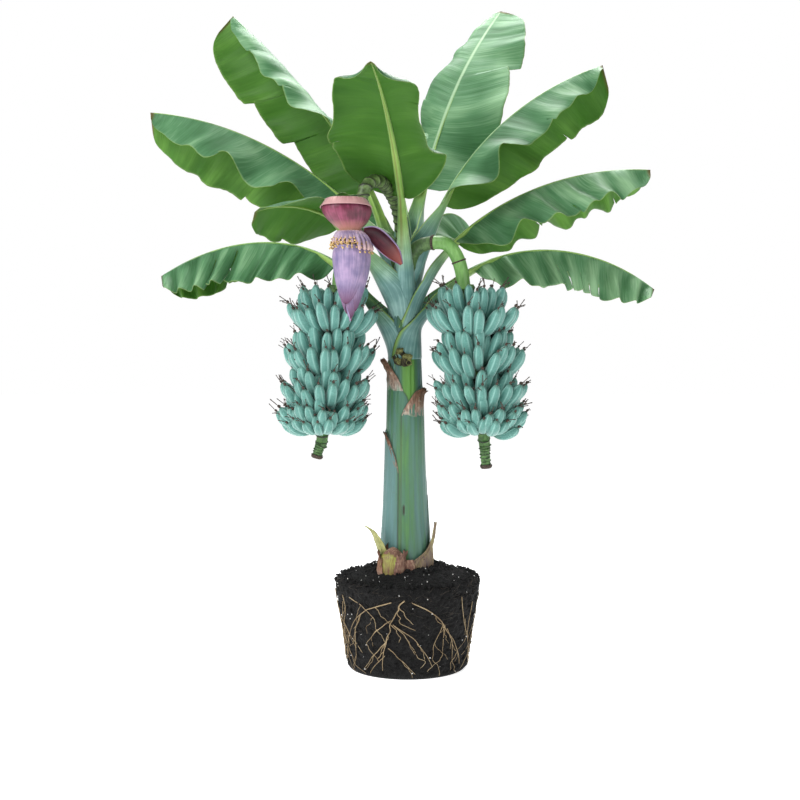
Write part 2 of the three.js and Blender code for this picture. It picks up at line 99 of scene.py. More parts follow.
def finish_material(tree, colour, roughness, height, depth, translucent=None, see_through=0.0, **uniform):
    """Puts the patterns on one Principled surface, `depth` metres of bump deep, with some light let through."""
    bump = add(tree, "Bump", {"Strength": 1.0, "Distance": depth, "Height": height})
    surface = add(tree, "BsdfPrincipled", {"Base Color": colour, "Roughness": roughness, "Normal": bump.outputs[0]})
    for socket, value in uniform.items():
        surface.inputs[socket.replace("_", " ")].default_value = value
    result = surface
    if translucent is not None:
        through = add(tree, "BsdfTranslucent", {"Color": translucent, "Normal": bump.outputs[0]})
        result = add(tree, "MixShader", {0: see_through, 1: surface.outputs[0], 2: through.outputs[0]})
    add(tree, "OutputMaterial", {"Surface": result.outputs[0]})


# ---------------------------------------------------------------- materials
def leaf_face_material(name, dark, mid, light, rib_side, through, share, roughness, sheen, fold_shade_share):
    """Living banana leaf. Veins run from the midrib to the margin 5 to 12 mm apart in a thin waxy skin, so the
    light breaks into fine stripes; UV x is metres from the tip along the rib, UV y runs -1 to 1 across."""
    material, tree, coords = start_material(name)
    uv = coords.outputs["UV"]
    veins = add(tree, "TexNoise", {"Vector": add(tree, "Mapping", {"Vector": uv, "Scale": (1, 0.012, 1)}).outputs[0],
                                   "Scale": 150.0, "Detail": 2.0, "Roughness": 0.5})
    bands = add(tree, "TexNoise", {"Vector": add(tree, "Mapping", {"Vector": uv, "Scale": (1, 0.05, 1)}).outputs[0],
                                   "Scale": 14.0, "Detail": 1.0})
    clouds = add(tree, "TexNoise", {"Vector": coords.outputs["Object"], "Scale": 3.5, "Detail": 2.0})
    tone = add(tree, "MixRGB", {"Fac": 0.35, "Color1": clouds.outputs[0], "Color2": bands.outputs[0]})
    tone = add(tree, "MixRGB", {"Fac": 0.30, "Color1": tone.outputs[0], "Color2": veins.outputs[0]})
    # Painted shade and highlight: the broad fold wave stored on the mesh darkens the fold valleys and lightens their
    # ridges in the colour, by the given share.
    fold = add(tree, "Attribute", attribute_name="fold")
    painted_fold_shade = add(tree, "Math", {0: fold.outputs["Fac"], 1: fold_shade_share}, operation="MULTIPLY")
    tone = add(tree, "Math", {0: tone.outputs[0], 1: painted_fold_shade.outputs[0]}, operation="ADD")
    # Per-leaf tone shift, partly painted light and shade on the whole leaf.
    tone_and_painted_light = add(tree, "Attribute", attribute_name="tone")
    tone = add(tree, "Math", {0: tone.outputs[0], 1: tone_and_painted_light.outputs["Fac"]}, operation="ADD")
    tone = add(tree, "MapRange", {"Value": tone.outputs[0], "From Min": 0.28, "From Max": 0.72})
    body = add(tree, "ValToRGB", {"Fac": tone.outputs[0]}, stops=[(0.0, dark), (1.0, light), (0.5, mid)])
    place = add(tree, "SeparateXYZ", {"Vector": uv})
    across = add(tree, "Math", {0: place.outputs[1]}, operation="ABSOLUTE")
    by_rib = add(tree, "MapRange", {"Value": across.outputs[0], "From Min": 0.015, "From Max": 0.04,
                                    "To Min": 0.85, "To Max": 0.0})
    colour = add(tree, "MixRGB", {"Fac": by_rib.outputs[0], "Color1": body.outputs[0], "Color2": rib_side})
    margin = add(tree, "MapRange", {"Value": across.outputs[0], "From Min": 0.97, "From Max": 1.0, "To Max": 0.45})
    colour = add(tree, "MixRGB", {"Fac": margin.outputs[0], "Color1": colour.outputs[0],
                                  "Color2": linear("#93a963")})
    scorch = add(tree, "Math", {0: place.outputs[0], 1: clouds.outputs[0]}, operation="MULTIPLY")
    wither = add(tree, "MapRange", {"Value": scorch.outputs[0], "From Min": 0.004, "From Max": 0.011,
                                    "To Min": 1.0, "To Max": 0.0})
    colour = add(tree, "MixRGB", {"Fac": wither.outputs[0], "Color1": colour.outputs[0],
                                  "Color2": linear("#5d5230")})
    gloss = add(tree, "MapRange", {"Value": veins.outputs[0], "To Min": roughness - 0.07, "To Max": roughness + 0.07})
    finish_material(tree, colour.outputs[0], gloss.outputs[0], veins.outputs[0], 0.0007, translucent=through,
                    see_through=share, IOR=1.4, Specular_IOR_Level=0.24, Sheen_Weight=sheen, Sheen_Roughness=0.45)
    return material


def fibrous_material(name, stops, fibre, stretch, spots, roughness, depth, **uniform):
    """Plant skin with lengthwise fibres `fibre` metres apart, clouded by patches and pitted by small spots."""
    material, tree, coords = start_material(name)
    along = add(tree, "Mapping", {"Vector": coords.outputs["Object"], "Scale": stretch})
    fibres = add(tree, "TexNoise", {"Vector": along.outputs[0], "Scale": 0.5 / fibre, "Detail": 3.0,
                                    "Roughness": 0.6})
    patches = add(tree, "TexNoise", {"Vector": coords.outputs["Object"], "Scale": 9.0, "Detail": 4.0})
    tone = add(tree, "MixRGB", {"Fac": 0.5, "Color1": fibres.outputs[0], "Color2": patches.outputs[0]})
    tone = add(tree, "MapRange", {"Value": tone.outputs[0], "From Min": 0.34, "From Max": 0.66})
    colour = add(tree, "ValToRGB", {"Fac": tone.outputs[0]}, stops=stops)
    pits = add(tree, "TexNoise", {"Vector": coords.outputs["Object"], "Scale": 60.0, "Detail": 2.0})
    pitted = add(tree, "MapRange", {"Value": pits.outputs[0], "From Min": 0.68, "From Max": 0.74,
                                    "To Max": spots})
    colour = add(tree, "MixRGB", {"Fac": pitted.outputs[0], "Color1": colour.outputs[0],
                                  "Color2": linear("#2b2119")})
    rough = add(tree, "MapRange", {"Value": patches.outputs[0], "To Min": roughness - 0.1, "To Max": roughness + 0.1})
    finish_material(tree, colour.outputs[0], rough.outputs[0], fibres.outputs[0], depth, **uniform)
    return material


def stem_material():
    """Pseudostem: wrapped leaf sheaths, green under a blue-grey wax that rubs off in streaks. Attribute `tint` says how
    green a sheath is, `edge` how dark it is along the sheaths' margins and in the slit, where the dark is painted
    shade."""
    material, tree, coords = start_material("waxy sheath skin")
    spot = coords.outputs["Object"]
    streak = add(tree, "TexNoise", {"Vector": add(tree, "Mapping", {"Vector": spot, "Scale": (1, 1, 0.05)}).outputs[0],
                                    "Scale": 55.0, "Detail": 4.0, "Roughness": 0.6})
    broad = add(tree, "TexNoise", {"Vector": add(tree, "Mapping", {"Vector": spot, "Scale": (1, 1, 0.14)}).outputs[0],
                                   "Scale": 14.0, "Detail": 3.0})
    tint = add(tree, "Attribute", attribute_name="tint")
    edge = add(tree, "Attribute", attribute_name="edge")
    mixed = add(tree, "Math", {0: tint.outputs["Fac"], 1: broad.outputs[0]}, operation="ADD")
    mixed = add(tree, "Math", {0: mixed.outputs[0], 1: streak.outputs[0]}, operation="ADD")
    tone = add(tree, "MapRange", {"Value": mixed.outputs[0], "From Min": 0.75, "From Max": 2.05})
    colour = add(tree, "ValToRGB", {"Fac": tone.outputs[0]},
                 stops=[(0.0, chosen("stem_wax")), (1.0, chosen("stem_green")), (0.3, linear("#4b706b")),
                        (0.62, linear("#446e4a"))])
    blotch = add(tree, "TexNoise", {"Vector": spot, "Scale": 38.0, "Detail": 5.0, "Roughness": 0.7})
    spots = add(tree, "MapRange", {"Value": blotch.outputs[0], "From Min": 0.62, "From Max": 0.74, "To Max": 0.5})
    colour = add(tree, "MixRGB", {"Fac": spots.outputs[0], "Color1": colour.outputs[0], "Color2": linear("#4b4a3a")})
    # Dark along the sheaths' margins; in the slit this dark is painted shade.
    colour = add(tree, "MixRGB", {"Fac": edge.outputs["Fac"], "Color1": colour.outputs[0],
                                  "Color2": linear("#2f3422")})
    rough = add(tree, "MapRange", {"Value": broad.outputs[0], "To Min": 0.38, "To Max": 0.6})
    finish_material(tree, colour.outputs[0], rough.outputs[0], streak.outputs[0], 0.002, IOR=1.45,
                    Sheen_Weight=0.12)
    return material


def fruit_material():
    """Unripe banana skin under a chalky blue-green bloom: matt, paler along the ridges as a painted highlight, green
    where the bloom is rubbed off, darker towards the stalk. UV x is the share of the finger's length."""
    material, tree, coords = start_material("bloomed banana skin")
    place = add(tree, "SeparateXYZ", {"Vector": coords.outputs["UV"]})
    bloom = add(tree, "TexNoise", {"Vector": coords.outputs["Object"], "Scale": 22.0, "Detail": 4.0,
                                   "Roughness": 0.6})
    fine = add(tree, "TexNoise", {"Vector": coords.outputs["Object"], "Scale": 160.0, "Detail": 2.0})
    tone = add(tree, "Math", {0: bloom.outputs[0], 1: fine.outputs[0]}, operation="ADD")
    tone = add(tree, "MapRange", {"Value": tone.outputs[0], "From Min": 0.55, "From Max": 1.45})
    body = add(tree, "ValToRGB", {"Fac": tone.outputs[0]},
               stops=[(0.0, linear("#47857c")), (1.0, linear("#72ada2")), (0.5, chosen("fruit"))])
    # Painted highlight along the five ridges.
    round_it = add(tree, "Math", {0: place.outputs[1], 1: 5 * TAU}, operation="MULTIPLY")
    round_it = add(tree, "Math", {0: round_it.outputs[0]}, operation="COSINE")
    ridge_highlight = add(tree, "MapRange", {"Value": round_it.outputs[0], "From Min": 0.5, "From Max": 1.0, "To Max": 0.45})
    body = add(tree, "MixRGB", {"Fac": ridge_highlight.outputs[0], "Color1": body.outputs[0], "Color2": linear("#a3d2c8")})
    ends = add(tree, "ValToRGB", {"Fac": place.outputs[0]},
               stops=[(0.0, grey(0.95)), (1.0, grey(0.8)), (0.25, grey(0.55)), (0.5, grey(0.0)), (0.92, grey(0.1))])
    colour = add(tree, "MixRGB", {"Fac": ends.outputs[0], "Color1": body.outputs[0], "Color2": linear("#3d6350")})
    rough = add(tree, "MapRange", {"Value": bloom.outputs[0], "To Min": 0.42, "To Max": 0.62})
    finish_material(tree, colour.outputs[0], rough.outputs[0], fine.outputs[0], 0.0006, IOR=1.45,
                    Sheen_Weight=0.25, Sheen_Roughness=0.5)
    return material


def bract_material(name, stops, rib, base, tip, roughness, sheen):
    """Flower bract: a leathery scale with fine lengthwise ribs `rib` metres apart. UV x is the share of its length;
    `base` and `tip` are the shares where its ends begin and their colours."""
    material, tree, coords = start_material(name)
    uv = coords.outputs["UV"]
    ribs = add(tree, "TexNoise", {"Vector": add(tree, "Mapping", {"Vector": uv, "Scale": (0.05, 1, 1)}).outputs[0],
                                  "Scale": 0.12 / rib, "Detail": 2.0, "Roughness": 0.6})
    clouds = add(tree, "TexNoise", {"Vector": coords.outputs["Object"], "Scale": 16.0, "Detail": 3.0})
    tone = add(tree, "MixRGB", {"Fac": 0.6, "Color1": ribs.outputs[0], "Color2": clouds.outputs[0]})
    tone = add(tree, "MapRange", {"Value": tone.outputs[0], "From Min": 0.36, "From Max": 0.64})
    colour = add(tree, "ValToRGB", {"Fac": tone.outputs[0]}, stops=stops)
    place = add(tree, "SeparateXYZ", {"Vector": uv})
    for (share, end_colour), outer in ((base, 0.0), (tip, 1.0)):
        near = add(tree, "MapRange", {"Value": place.outputs[0], "From Min": share, "From Max": outer})
        colour = add(tree, "MixRGB", {"Fac": near.outputs[0], "Color1": colour.outputs[0], "Color2": end_colour})
    rough = add(tree, "MapRange", {"Value": clouds.outputs[0], "To Min": roughness - 0.1, "To Max": roughness + 0.1})
    finish_material(tree, colour.outputs[0], rough.outputs[0], ribs.outputs[0], 0.001, IOR=1.45,
                    Sheen_Weight=sheen, Sheen_Roughness=0.4)
    return material


def soil_material():
    """Wet peat compost: near black, matt, with brown fibre and grains 1 to 6 mm across."""
    material, tree, coords = start_material("moist peat")
    spot = coords.outputs["Object"]
    grains = add(tree, "TexVoronoi", {"Vector": spot, "Scale": 170.0})
    lumps = add(tree, "TexNoise", {"Vector": spot, "Scale": 60.0, "Detail": 6.0, "Roughness": 0.7})
    colour = add(tree, "ValToRGB", {"Fac": lumps.outputs[0]},
                 stops=[(0.3, linear("#030303")), (0.8, linear("#252422")), (0.52, chosen("soil"))])
    height = add(tree, "Math", {0: lumps.outputs[0], 1: grains.outputs[0]}, operation="ADD")
    rough = add(tree, "MapRange", {"Value": grains.outputs[0], "To Min": 0.75, "To Max": 0.98})
    finish_material(tree, colour.outputs[0], rough.outputs[0], height.outputs[0], 0.006, IOR=1.4)
    return material


def grain_material(name, dark, light, roughness, scale):
    """A rough little body with a mottled colour, such as a grain of perlite or a withered flower end."""
    material, tree, coords = start_material(name)
    mottle = add(tree, "TexNoise", {"Vector": coords.outputs["Object"], "Scale": scale, "Detail": 3.0})
    colour = add(tree, "ValToRGB", {"Fac": mottle.outputs[0]}, stops=[(0.35, dark), (0.65, light)])
    rough = add(tree, "MapRange", {"Value": mottle.outputs[0], "To Min": roughness - 0.1, "To Max": roughness})
    finish_material(tree, colour.outputs[0], rough.outputs[0], mottle.outputs[0], 0.001)
    return material


MATERIALS = {
    "leaf upper": lambda: leaf_face_material(
        "leaf upper face", linear("#28532f"), chosen("leaf_upper"), linear("#8db58a"), linear("#a9c8a0"),
        linear("#6fa02c"), 0.20, 0.50, 0.06, 0.11),
    "leaf under": lambda: leaf_face_material(
        "leaf underside", linear("#33601f"), chosen("leaf_under"), linear("#679640"), linear("#8dbb4a"),
        linear("#8cc22e"), 0.25, 0.5, 0.1, -0.12),
    "leaf margin": lambda: grain_material("dried leaf margin", linear("#5d7a3c"), linear("#93a968"), 0.7, 60.0),
    "petiole": lambda: petiole_material(),
    "stem": stem_material,
    "soil": soil_material,
    "perlite": lambda: grain_material("perlite", linear("#d9d7d0"), linear("#ffffff"), 0.85, 300.0),
    "root": lambda: fibrous_material(
        "root skin", [(0.0, linear("#57462f")), (1.0, linear("#c6b592")), (0.5, chosen("root"))],
        0.002, (1, 1, 1), 0.4, 0.75, 0.0008),
    "fibre": lambda: grain_material("fine root fibre", linear("#15130f"), linear("#463e34"), 0.9, 60.0),
    "fruit": fruit_material,
    "remnant": lambda: grain_material("withered flower end", linear("#1d1613"), linear("#54463b"), 0.9, 220.0),
    "fruit stalk": lambda: fibrous_material(
        "fruit stalk skin", [(0.0, linear("#54813f")), (1.0, linear("#7fae63")), (0.5, linear("#6a9a50"))],
        0.006, (1, 1, 0.2), 0.25, 0.45, 0.0008),
    # Darker than the rest of the stalk: partly its own olive skin near the crown and partly painted shade under the
    # crown.
    "stalk collar": lambda: fibrous_material(
        "scarred stalk skin", [(0.0, linear("#2c3b24")), (1.0, linear("#5f7f48")), (0.5, linear("#446036"))],
        0.008, (1, 1, 0.6), 0.4, 0.55, 0.001),
    "flower stalk": lambda: ringed_material(
        "ringed flower stalk skin", [(0.3, linear("#2f3d22")), (0.7, linear("#6f8752")), (0.5, linear("#4d6337"))],
        0.034, 0.25, 0.5),
    "tail": lambda: ringed_material(
        "scarred bunch tail skin", [(0.3, linear("#2f4d26")), (0.7, linear("#628a4c")), (0.5, linear("#476c37"))],
        0.048, 0.3, 0.5),
    "bract outer": lambda: bract_material(
        "bract outer face", [(0.0, linear("#645b83")), (1.0, linear("#9c87a8")), (0.5, chosen("bract_outer"))],
        0.004, (0.12, linear("#9c8fb5")), (0.66, linear("#5b2c4f")), 0.5, 0.12),
    "bract inner": lambda: bract_material(
        "bract inner face", [(0.0, linear("#431424")), (1.0, linear("#853b57")), (0.5, chosen("bract_inner"))],
        0.004, (0.26, linear("#bd8f78")), (0.6, linear("#82505c")), 0.38, 0.05),
    # Painted highlight: the rolled edge is pale pink for the light it catches from above.
    "bract lip highlight": lambda: bract_material(
        "rolled bract edge", [(0.0, linear("#96666c")), (1.0, linear("#d2aaa6")), (0.5, linear("#b28686"))],
        0.004, (0.14, linear("#c99a7e")), (0.9, linear("#b28888")), 0.5, 0.2),
    "bract side": lambda: bract_material(
        "side bract inner face", [(0.0, linear("#2a0e17")), (1.0, linear("#5c2531")), (0.5, linear("#3d1421"))],
        0.004, (0.08, linear("#5f2b3a")), (0.55, linear("#8d4c41")), 0.4, 0.1),
    "floret": lambda: bract_material(
        "floret", [(0.0, linear("#6d5d7a")), (1.0, linear("#c2adb9")), (0.5, linear("#97849f"))],
        0.003, (0.25, linear("#d8b7ae")), (0.6, linear("#c7a49a")), 0.5, 0.2),
    "floret tip": lambda: grain_material("floret tip", linear("#94703a"), linear("#e2c484"), 0.8, 120.0),
    "dry sheath": lambda: withered_material(),
    "scar": lambda: fibrous_material(
        "rotted scar", [(0.0, linear("#17160f")), (1.0, linear("#5c5a38")), (0.5, linear("#302d1c"))],
        0.004, (1, 1, 0.5), 0.8, 0.85, 0.004),
    "scar rim": lambda: fibrous_material(
        "withered scar rim", [(0.0, linear("#39381f")), (1.0, linear("#9a9a60")), (0.5, linear("#66683a"))],
        0.004, (1, 1, 0.5), 0.6, 0.8, 0.003),
    "sucker scale": lambda: fibrous_material(
        "sucker scale", [(0.0, linear("#47302a")), (1.0, linear("#b59a80")), (0.5, linear("#7c5849"))],
        0.004, (1, 1, 0.25), 0.7, 0.65, 0.003),
    "wrap scale": lambda: fibrous_material(
        "faded wrap scale", [(0.0, linear("#5d505a")), (1.0, linear("#a39a68")), (0.5, linear("#806c58"))],
        0.004, (1, 1, 0.2), 0.7, 0.65, 0.003),
    "spike scale": lambda: fibrous_material(
        "olive spike", [(0.0, linear("#6d6a3a")), (1.0, linear("#b9b57c")), (0.5, linear("#95985a"))],
        0.004, (1, 1, 0.2), 0.6, 0.6, 0.002),
    "green scale": lambda: fibrous_material(
        "green sucker skin", [(0.0, linear("#6b4634")), (1.0, linear("#9cb24a")), (0.5, linear("#86803c"))],
        0.004, (1, 1, 0.25), 0.5, 0.5, 0.002),
}


def petiole_material():
    """Leaf stalk: blue-green wax over its back and in its channel, yellow-green along both margins and towards the
    blade. UV x is metres from its foot; UV y runs round it, 0 and 0.5 at the margins."""
    material, tree, coords = start_material("waxy leaf stalk")
    uv = coords.outputs["UV"]
    place = add(tree, "SeparateXYZ", {"Vector": uv})
    streak = add(tree, "TexNoise", {"Vector": add(tree, "Mapping", {"Vector": uv, "Scale": (0.4, 10, 1)}).outputs[0],
                                    "Scale": 6.0, "Detail": 3.0})
    patch = add(tree, "TexNoise", {"Vector": coords.outputs["Object"], "Scale": 9.0, "Detail": 3.0})
    tone = add(tree, "MixRGB", {"Fac": 0.5, "Color1": streak.outputs[0], "Color2": patch.outputs[0]})
    tone = add(tree, "MapRange", {"Value": tone.outputs[0], "From Min": 0.35, "From Max": 0.65})
    waxy = add(tree, "ValToRGB", {"Fac": tone.outputs[0]},
               stops=[(0.0, linear("#4f7b78")), (1.0, linear("#93bab4")), (0.5, chosen("stalk_wax"))])
    green = add(tree, "ValToRGB", {"Fac": tone.outputs[0]}, stops=[(0.0, linear("#5f8c2e")), (1.0, linear("#96b650"))])
    margins = add(tree, "ValToRGB", {"Fac": place.outputs[1]},
                  stops=[(0.0, grey(0.9)), (1.0, grey(0.9)), (0.016, grey(0.85)), (0.036, grey(0.0)),
                         (0.464, grey(0.0)), (0.484, grey(0.85)), (0.515, grey(0.85)), (0.53, grey(0.2)),
                         (0.97, grey(0.2)), (0.985, grey(0.8))])
    # Dark lines along both margins near the foot: painted shadow beside the margins.
    dried = add(tree, "ValToRGB", {"Fac": place.outputs[1]},
                stops=[(0.0, grey(0.8)), (1.0, grey(0.8)), (0.004, grey(0.7)), (0.009, grey(0.0)),
                       (0.491, grey(0.0)), (0.496, grey(0.7)), (0.506, grey(0.6)), (0.512, grey(0.0)),
                       (0.988, grey(0.0)), (0.994, grey(0.6))])
    far_out = add(tree, "MapRange", {"Value": place.outputs[0], "From Min": 0.30, "From Max": 0.56, "To Max": 0.95})
    green_share = add(tree, "Math", {0: margins.outputs[0], 1: far_out.outputs[0]}, operation="MAXIMUM")
    colour = add(tree, "MixRGB", {"Fac": green_share.outputs[0], "Color1": waxy.outputs[0],
                                  "Color2": green.outputs[0]})
    near = add(tree, "MapRange", {"Value": place.outputs[0], "From Min": 0.35, "From Max": 0.60, "To Min": 1.0,
                                  "To Max": 0.0})
    dried = add(tree, "Math", {0: dried.outputs[0], 1: near.outputs[0]}, operation="MULTIPLY")
    colour = add(tree, "MixRGB", {"Fac": dried.outputs[0], "Color1": colour.outputs[0],
                                  "Color2": linear("#3d4424")})
    line = add(tree, "ValToRGB", {"Fac": place.outputs[1]},
               stops=[(0.19, grey(0.0)), (0.30, grey(0.0)), (0.225, grey(0.75)), (0.255, grey(0.75))])
    aged = add(tree, "Math", {0: line.outputs[0], 1: far_out.outputs[0]}, operation="MULTIPLY")
    colour = add(tree, "MixRGB", {"Fac": aged.outputs[0], "Color1": colour.outputs[0], "Color2": linear("#6c6a30")})
    rough = add(tree, "MapRange", {"Value": patch.outputs[0], "To Min": 0.38, "To Max": 0.55})
    finish_material(tree, colour.outputs[0], rough.outputs[0], streak.outputs[0], 0.0012, IOR=1.45,
                    Sheen_Weight=0.2)
    return material


def withered_material():
    """Dried sheath end: papery and fibrous, pale and greyish where it leaves the living sheath, pinkish tan above
    and brown to nearly black at its tip. UV x is the share of its length."""
    material, tree, coords = start_material("withered sheath paper")
    spot = coords.outputs["Object"]
    fibres = add(tree, "TexNoise", {"Vector": add(tree, "Mapping", {"Vector": spot, "Scale": (1, 1, 0.12)}).outputs[0],
                                    "Scale": 190.0, "Detail": 3.0, "Roughness": 0.6})
    patches = add(tree, "TexNoise", {"Vector": spot, "Scale": 26.0, "Detail": 4.0, "Roughness": 0.65})
    place = add(tree, "SeparateXYZ", {"Vector": coords.outputs["UV"]})
    shift = add(tree, "MapRange", {"Value": patches.outputs[0], "To Min": -0.3, "To Max": 0.3})
    share = add(tree, "Math", {0: place.outputs[0], 1: shift.outputs[0]}, operation="ADD")
    colour = add(tree, "ValToRGB", {"Fac": share.outputs[0]},
                 stops=[(0.0, linear("#7f9a84")), (1.0, linear("#4a3426")), (0.07, linear("#aaa69a")),
                        (0.22, linear("#a98f80")), (0.5, linear("#9a7560")), (0.85, linear("#775440"))])
    dark = add(tree, "MapRange", {"Value": fibres.outputs[0], "From Min": 0.42, "From Max": 0.60,
                                  "To Min": 0.6, "To Max": 0.0})
    colour = add(tree, "MixRGB", {"Fac": dark.outputs[0], "Color1": colour.outputs[0], "Color2": linear("#4b3527")})
    light = add(tree, "MapRange", {"Value": patches.outputs[0], "From Min": 0.58, "From Max": 0.7, "To Max": 0.6})
    colour = add(tree, "MixRGB", {"Fac": light.outputs[0], "Color1": colour.outputs[0], "Color2": linear("#d9c8b4")})
    rough = add(tree, "MapRange", {"Value": patches.outputs[0], "To Min": 0.7, "To Max": 0.9})
    finish_material(tree, colour.outputs[0], rough.outputs[0], fibres.outputs[0], 0.003, IOR=1.4)
    return material


def ringed_material(name, stops, pitch, swing, rough_value):
    """Stalk skin crossed by dark scars every `pitch` metres. UV x is metres along it; the rings swing round it."""
    material, tree, coords = start_material(name)
    place = add(tree, "SeparateXYZ", {"Vector": coords.outputs["UV"]})
    mottle = add(tree, "TexNoise", {"Vector": coords.outputs["Object"], "Scale": 45.0, "Detail": 4.0})
    body = add(tree, "ValToRGB", {"Fac": mottle.outputs[0]}, stops=stops)
    along = add(tree, "Math", {0: place.outputs[0], 1: pitch}, operation="DIVIDE")
    turn = add(tree, "Math", {0: place.outputs[1], 1: TAU}, operation="MULTIPLY")
    turn = add(tree, "Math", {0: turn.outputs[0]}, operation="SINE")
    along = add(tree, "Math", {0: turn.outputs[0], 1: swing, 2: along.outputs[0]}, operation="MULTIPLY_ADD")
    ring = add(tree, "Math", {0: along.outputs[0], 1: 1.0}, operation="FLOORED_MODULO")
    ring = add(tree, "Math", {0: ring.outputs[0], 1: 0.5}, operation="SUBTRACT")
    ring = add(tree, "Math", {0: ring.outputs[0]}, operation="ABSOLUTE")
    dark = add(tree, "MapRange", {"Value": ring.outputs[0], "From Min": 0.05, "From Max": 0.15,
                                  "To Min": 0.9, "To Max": 0.0})
    colour = add(tree, "MixRGB", {"Fac": dark.outputs[0], "Color1": body.outputs[0], "Color2": linear("#14170f")})
    rough = add(tree, "MapRange", {"Value": mottle.outputs[0], "To Min": rough_value - 0.1, "To Max": rough_value + 0.1})
    finish_material(tree, colour.outputs[0], rough.outputs[0], mottle.outputs[0], 0.001, IOR=1.45)
    return material


@cache
def material(key):
    """The named material, made when a piece first asks for it."""
    return MATERIALS[key]()


# ---------------------------------------------------------------- curves, noise and meshes
def smooth(low, high, x):
    """0 below `low`, 1 above `high`, with an eased step between."""
    t = np.clip((x - low) / (high - low), 0, 1)
    return t * t * (3 - 2 * t)


def spline(stations, u):
    """Catmull-Rom values at u (0 to 1) through equally spaced stations, numbers or points."""
    stations = np.asarray(stations, float)
    last = len(stations) - 1
    x = np.clip(np.asarray(u, float) * last, 0, last - 1e-9)
    i = x.astype(int)
    f = (x - i) if stations.ndim == 1 else (x - i)[..., None]
    a, b, c, d = (stations[np.clip(i + k, 0, last)] for k in (-1, 0, 1, 2))
    return 0.5 * (2 * b + (c - a) * f + (2 * a - 5 * b + 4 * c - d) * f ** 2 + (3 * b - a - 3 * c + d) * f ** 3)


def between(x, places, values):
    """Straight-line values at x, as np.interp, for numbers or points."""
    values = np.asarray(values, float)
    if values.ndim == 1:
        return np.interp(x, places, values)
    return np.stack([np.interp(x, places, values[:, k]) for k in range(values.shape[1])], -1)


def ripple(x, pitch, seed):
    """Smooth random wave along x from -1 to 1, with a new height every `pitch`."""
    heights = np.random.default_rng(seed).uniform(-1, 1, 512)
    place = np.asarray(x, float) / pitch + 100
    i = np.floor(place).astype(int)
    f = smooth(0, 1, place - i)
    return heights[i % 512] * (1 - f) + heights[(i + 1) % 512] * f


def folds(x, pitch, seed):
    """Uneven wave along x from -1 to 1, up and down by turns about every `pitch`."""
    rng = np.random.default_rng(seed)
    stops = np.cumsum(rng.uniform(0.7, 1.3, 512))
    heights = rng.uniform(0.5, 1, 512)
    place = np.asarray(x, float) / pitch + 20
    return np.sin(math.pi * between(place, stops, np.arange(512.0))) * between(place, stops, heights)


def lumps(points, size):
    """Perlin noise at many points, with features about `size` across."""
    return np.array([noise.noise(Vector(p) / size) for p in points])


def unit(vectors):
    return vectors / np.maximum(np.linalg.norm(vectors, axis=-1, keepdims=True), 1e-12)


def deselect():
    bpy.ops.object.select_all(action="DESELECT")


def shaped_grid(name, rows, columns, place, closed=False, span=(1.0, 1.0), cut=None, values=None):
    """A grid primitive whose point at (u, v), each 0 to 1, is carried to place(u, v). Its UV map is (u, v) times
    `span`. `cut` says which faces to leave out, by their middles. A closed one has its seam and poles merged."""
    deselect()
    bpy.ops.mesh.primitive_grid_add(x_subdivisions=rows, y_subdivisions=columns, size=1)
    piece = bpy.context.object
    piece.name = piece.data.name = name
    mesh = piece.data
    if cut is not None:
        bpy.ops.object.mode_set(mode="EDIT")
        bpy.ops.mesh.select_mode(type="FACE")
        bpy.ops.mesh.select_all(action="DESELECT")
        bpy.ops.object.mode_set(mode="OBJECT")
        middles = np.empty(len(mesh.polygons) * 3, np.float32)
        mesh.polygons.foreach_get("center", middles)
        middles = middles.reshape(-1, 3) + 0.5
        mesh.polygons.foreach_set("select", cut(middles[:, 0], middles[:, 1]))
        bpy.ops.object.mode_set(mode="EDIT")
        bpy.ops.mesh.delete(type="FACE")
        bpy.ops.object.mode_set(mode="OBJECT")
    flat = np.empty(len(mesh.vertices) * 3, np.float32)
    mesh.vertices.foreach_get("co", flat)
    u, v = flat.reshape(-1, 3)[:, 0].astype(float) + 0.5, flat.reshape(-1, 3)[:, 1].astype(float) + 0.5
    corners = np.empty(len(mesh.loops), np.int32)
    mesh.loops.foreach_get("vertex_index", corners)
    mesh.uv_layers[0].data.foreach_set("uv", np.stack([u[corners] * span[0], v[corners] * span[1]], 1).ravel())
    for key, value in (values or {}).items():
        mesh.attributes.new(key, "FLOAT", "POINT").data.foreach_set("value", value(u, v).astype(np.float32))
    mesh.vertices.foreach_set("co", place(u, v).astype(np.float32).ravel())
    mesh.update()
    if closed:
        merge_seams(piece)
    bpy.ops.object.shade_smooth()
    return piece


def merge_seams(piece):
    """Joins points that coincide and turns a closed skin's faces outwards."""
    deselect()
    piece.select_set(True)
    bpy.context.view_layer.objects.active = piece
    bpy.ops.object.mode_set(mode="EDIT")
    bpy.ops.mesh.select_all(action="SELECT")
    bpy.ops.mesh.remove_doubles(threshold=1e-5)
    bpy.ops.mesh.dissolve_degenerate(threshold=1e-6)
    bpy.ops.mesh.select_all(action="SELECT")
    bpy.ops.mesh.normals_make_consistent(inside=False)
    bpy.ops.object.mode_set(mode="OBJECT")


def thicken(piece, thickness, keys, offset=-1.0, rim=0):
    """Gives an open skin its materials and a thickness. The far side takes the second of the materials `keys`, and
    the edge the one numbered `rim`."""
    for key in keys:
        piece.data.materials.append(material(key))
    deselect()
    piece.select_set(True)
    bpy.context.view_layer.objects.active = piece
    wall = piece.modifiers.new("thickness", "SOLIDIFY")
    wall.thickness = thickness
    wall.offset = offset
    wall.use_even_offset = False
    wall.material_offset = 1
    wall.material_offset_rim = rim
    bpy.ops.object.modifier_apply(modifier=wall.name)


def path_frames(points, reference):
    """Sideways and upper directions along a path, steadied by a reference direction across it."""
    forward = unit(np.gradient(points, axis=0))
    sideways = unit(np.cross(forward, np.asarray(reference, float)))
    return sideways, np.cross(sideways, forward)


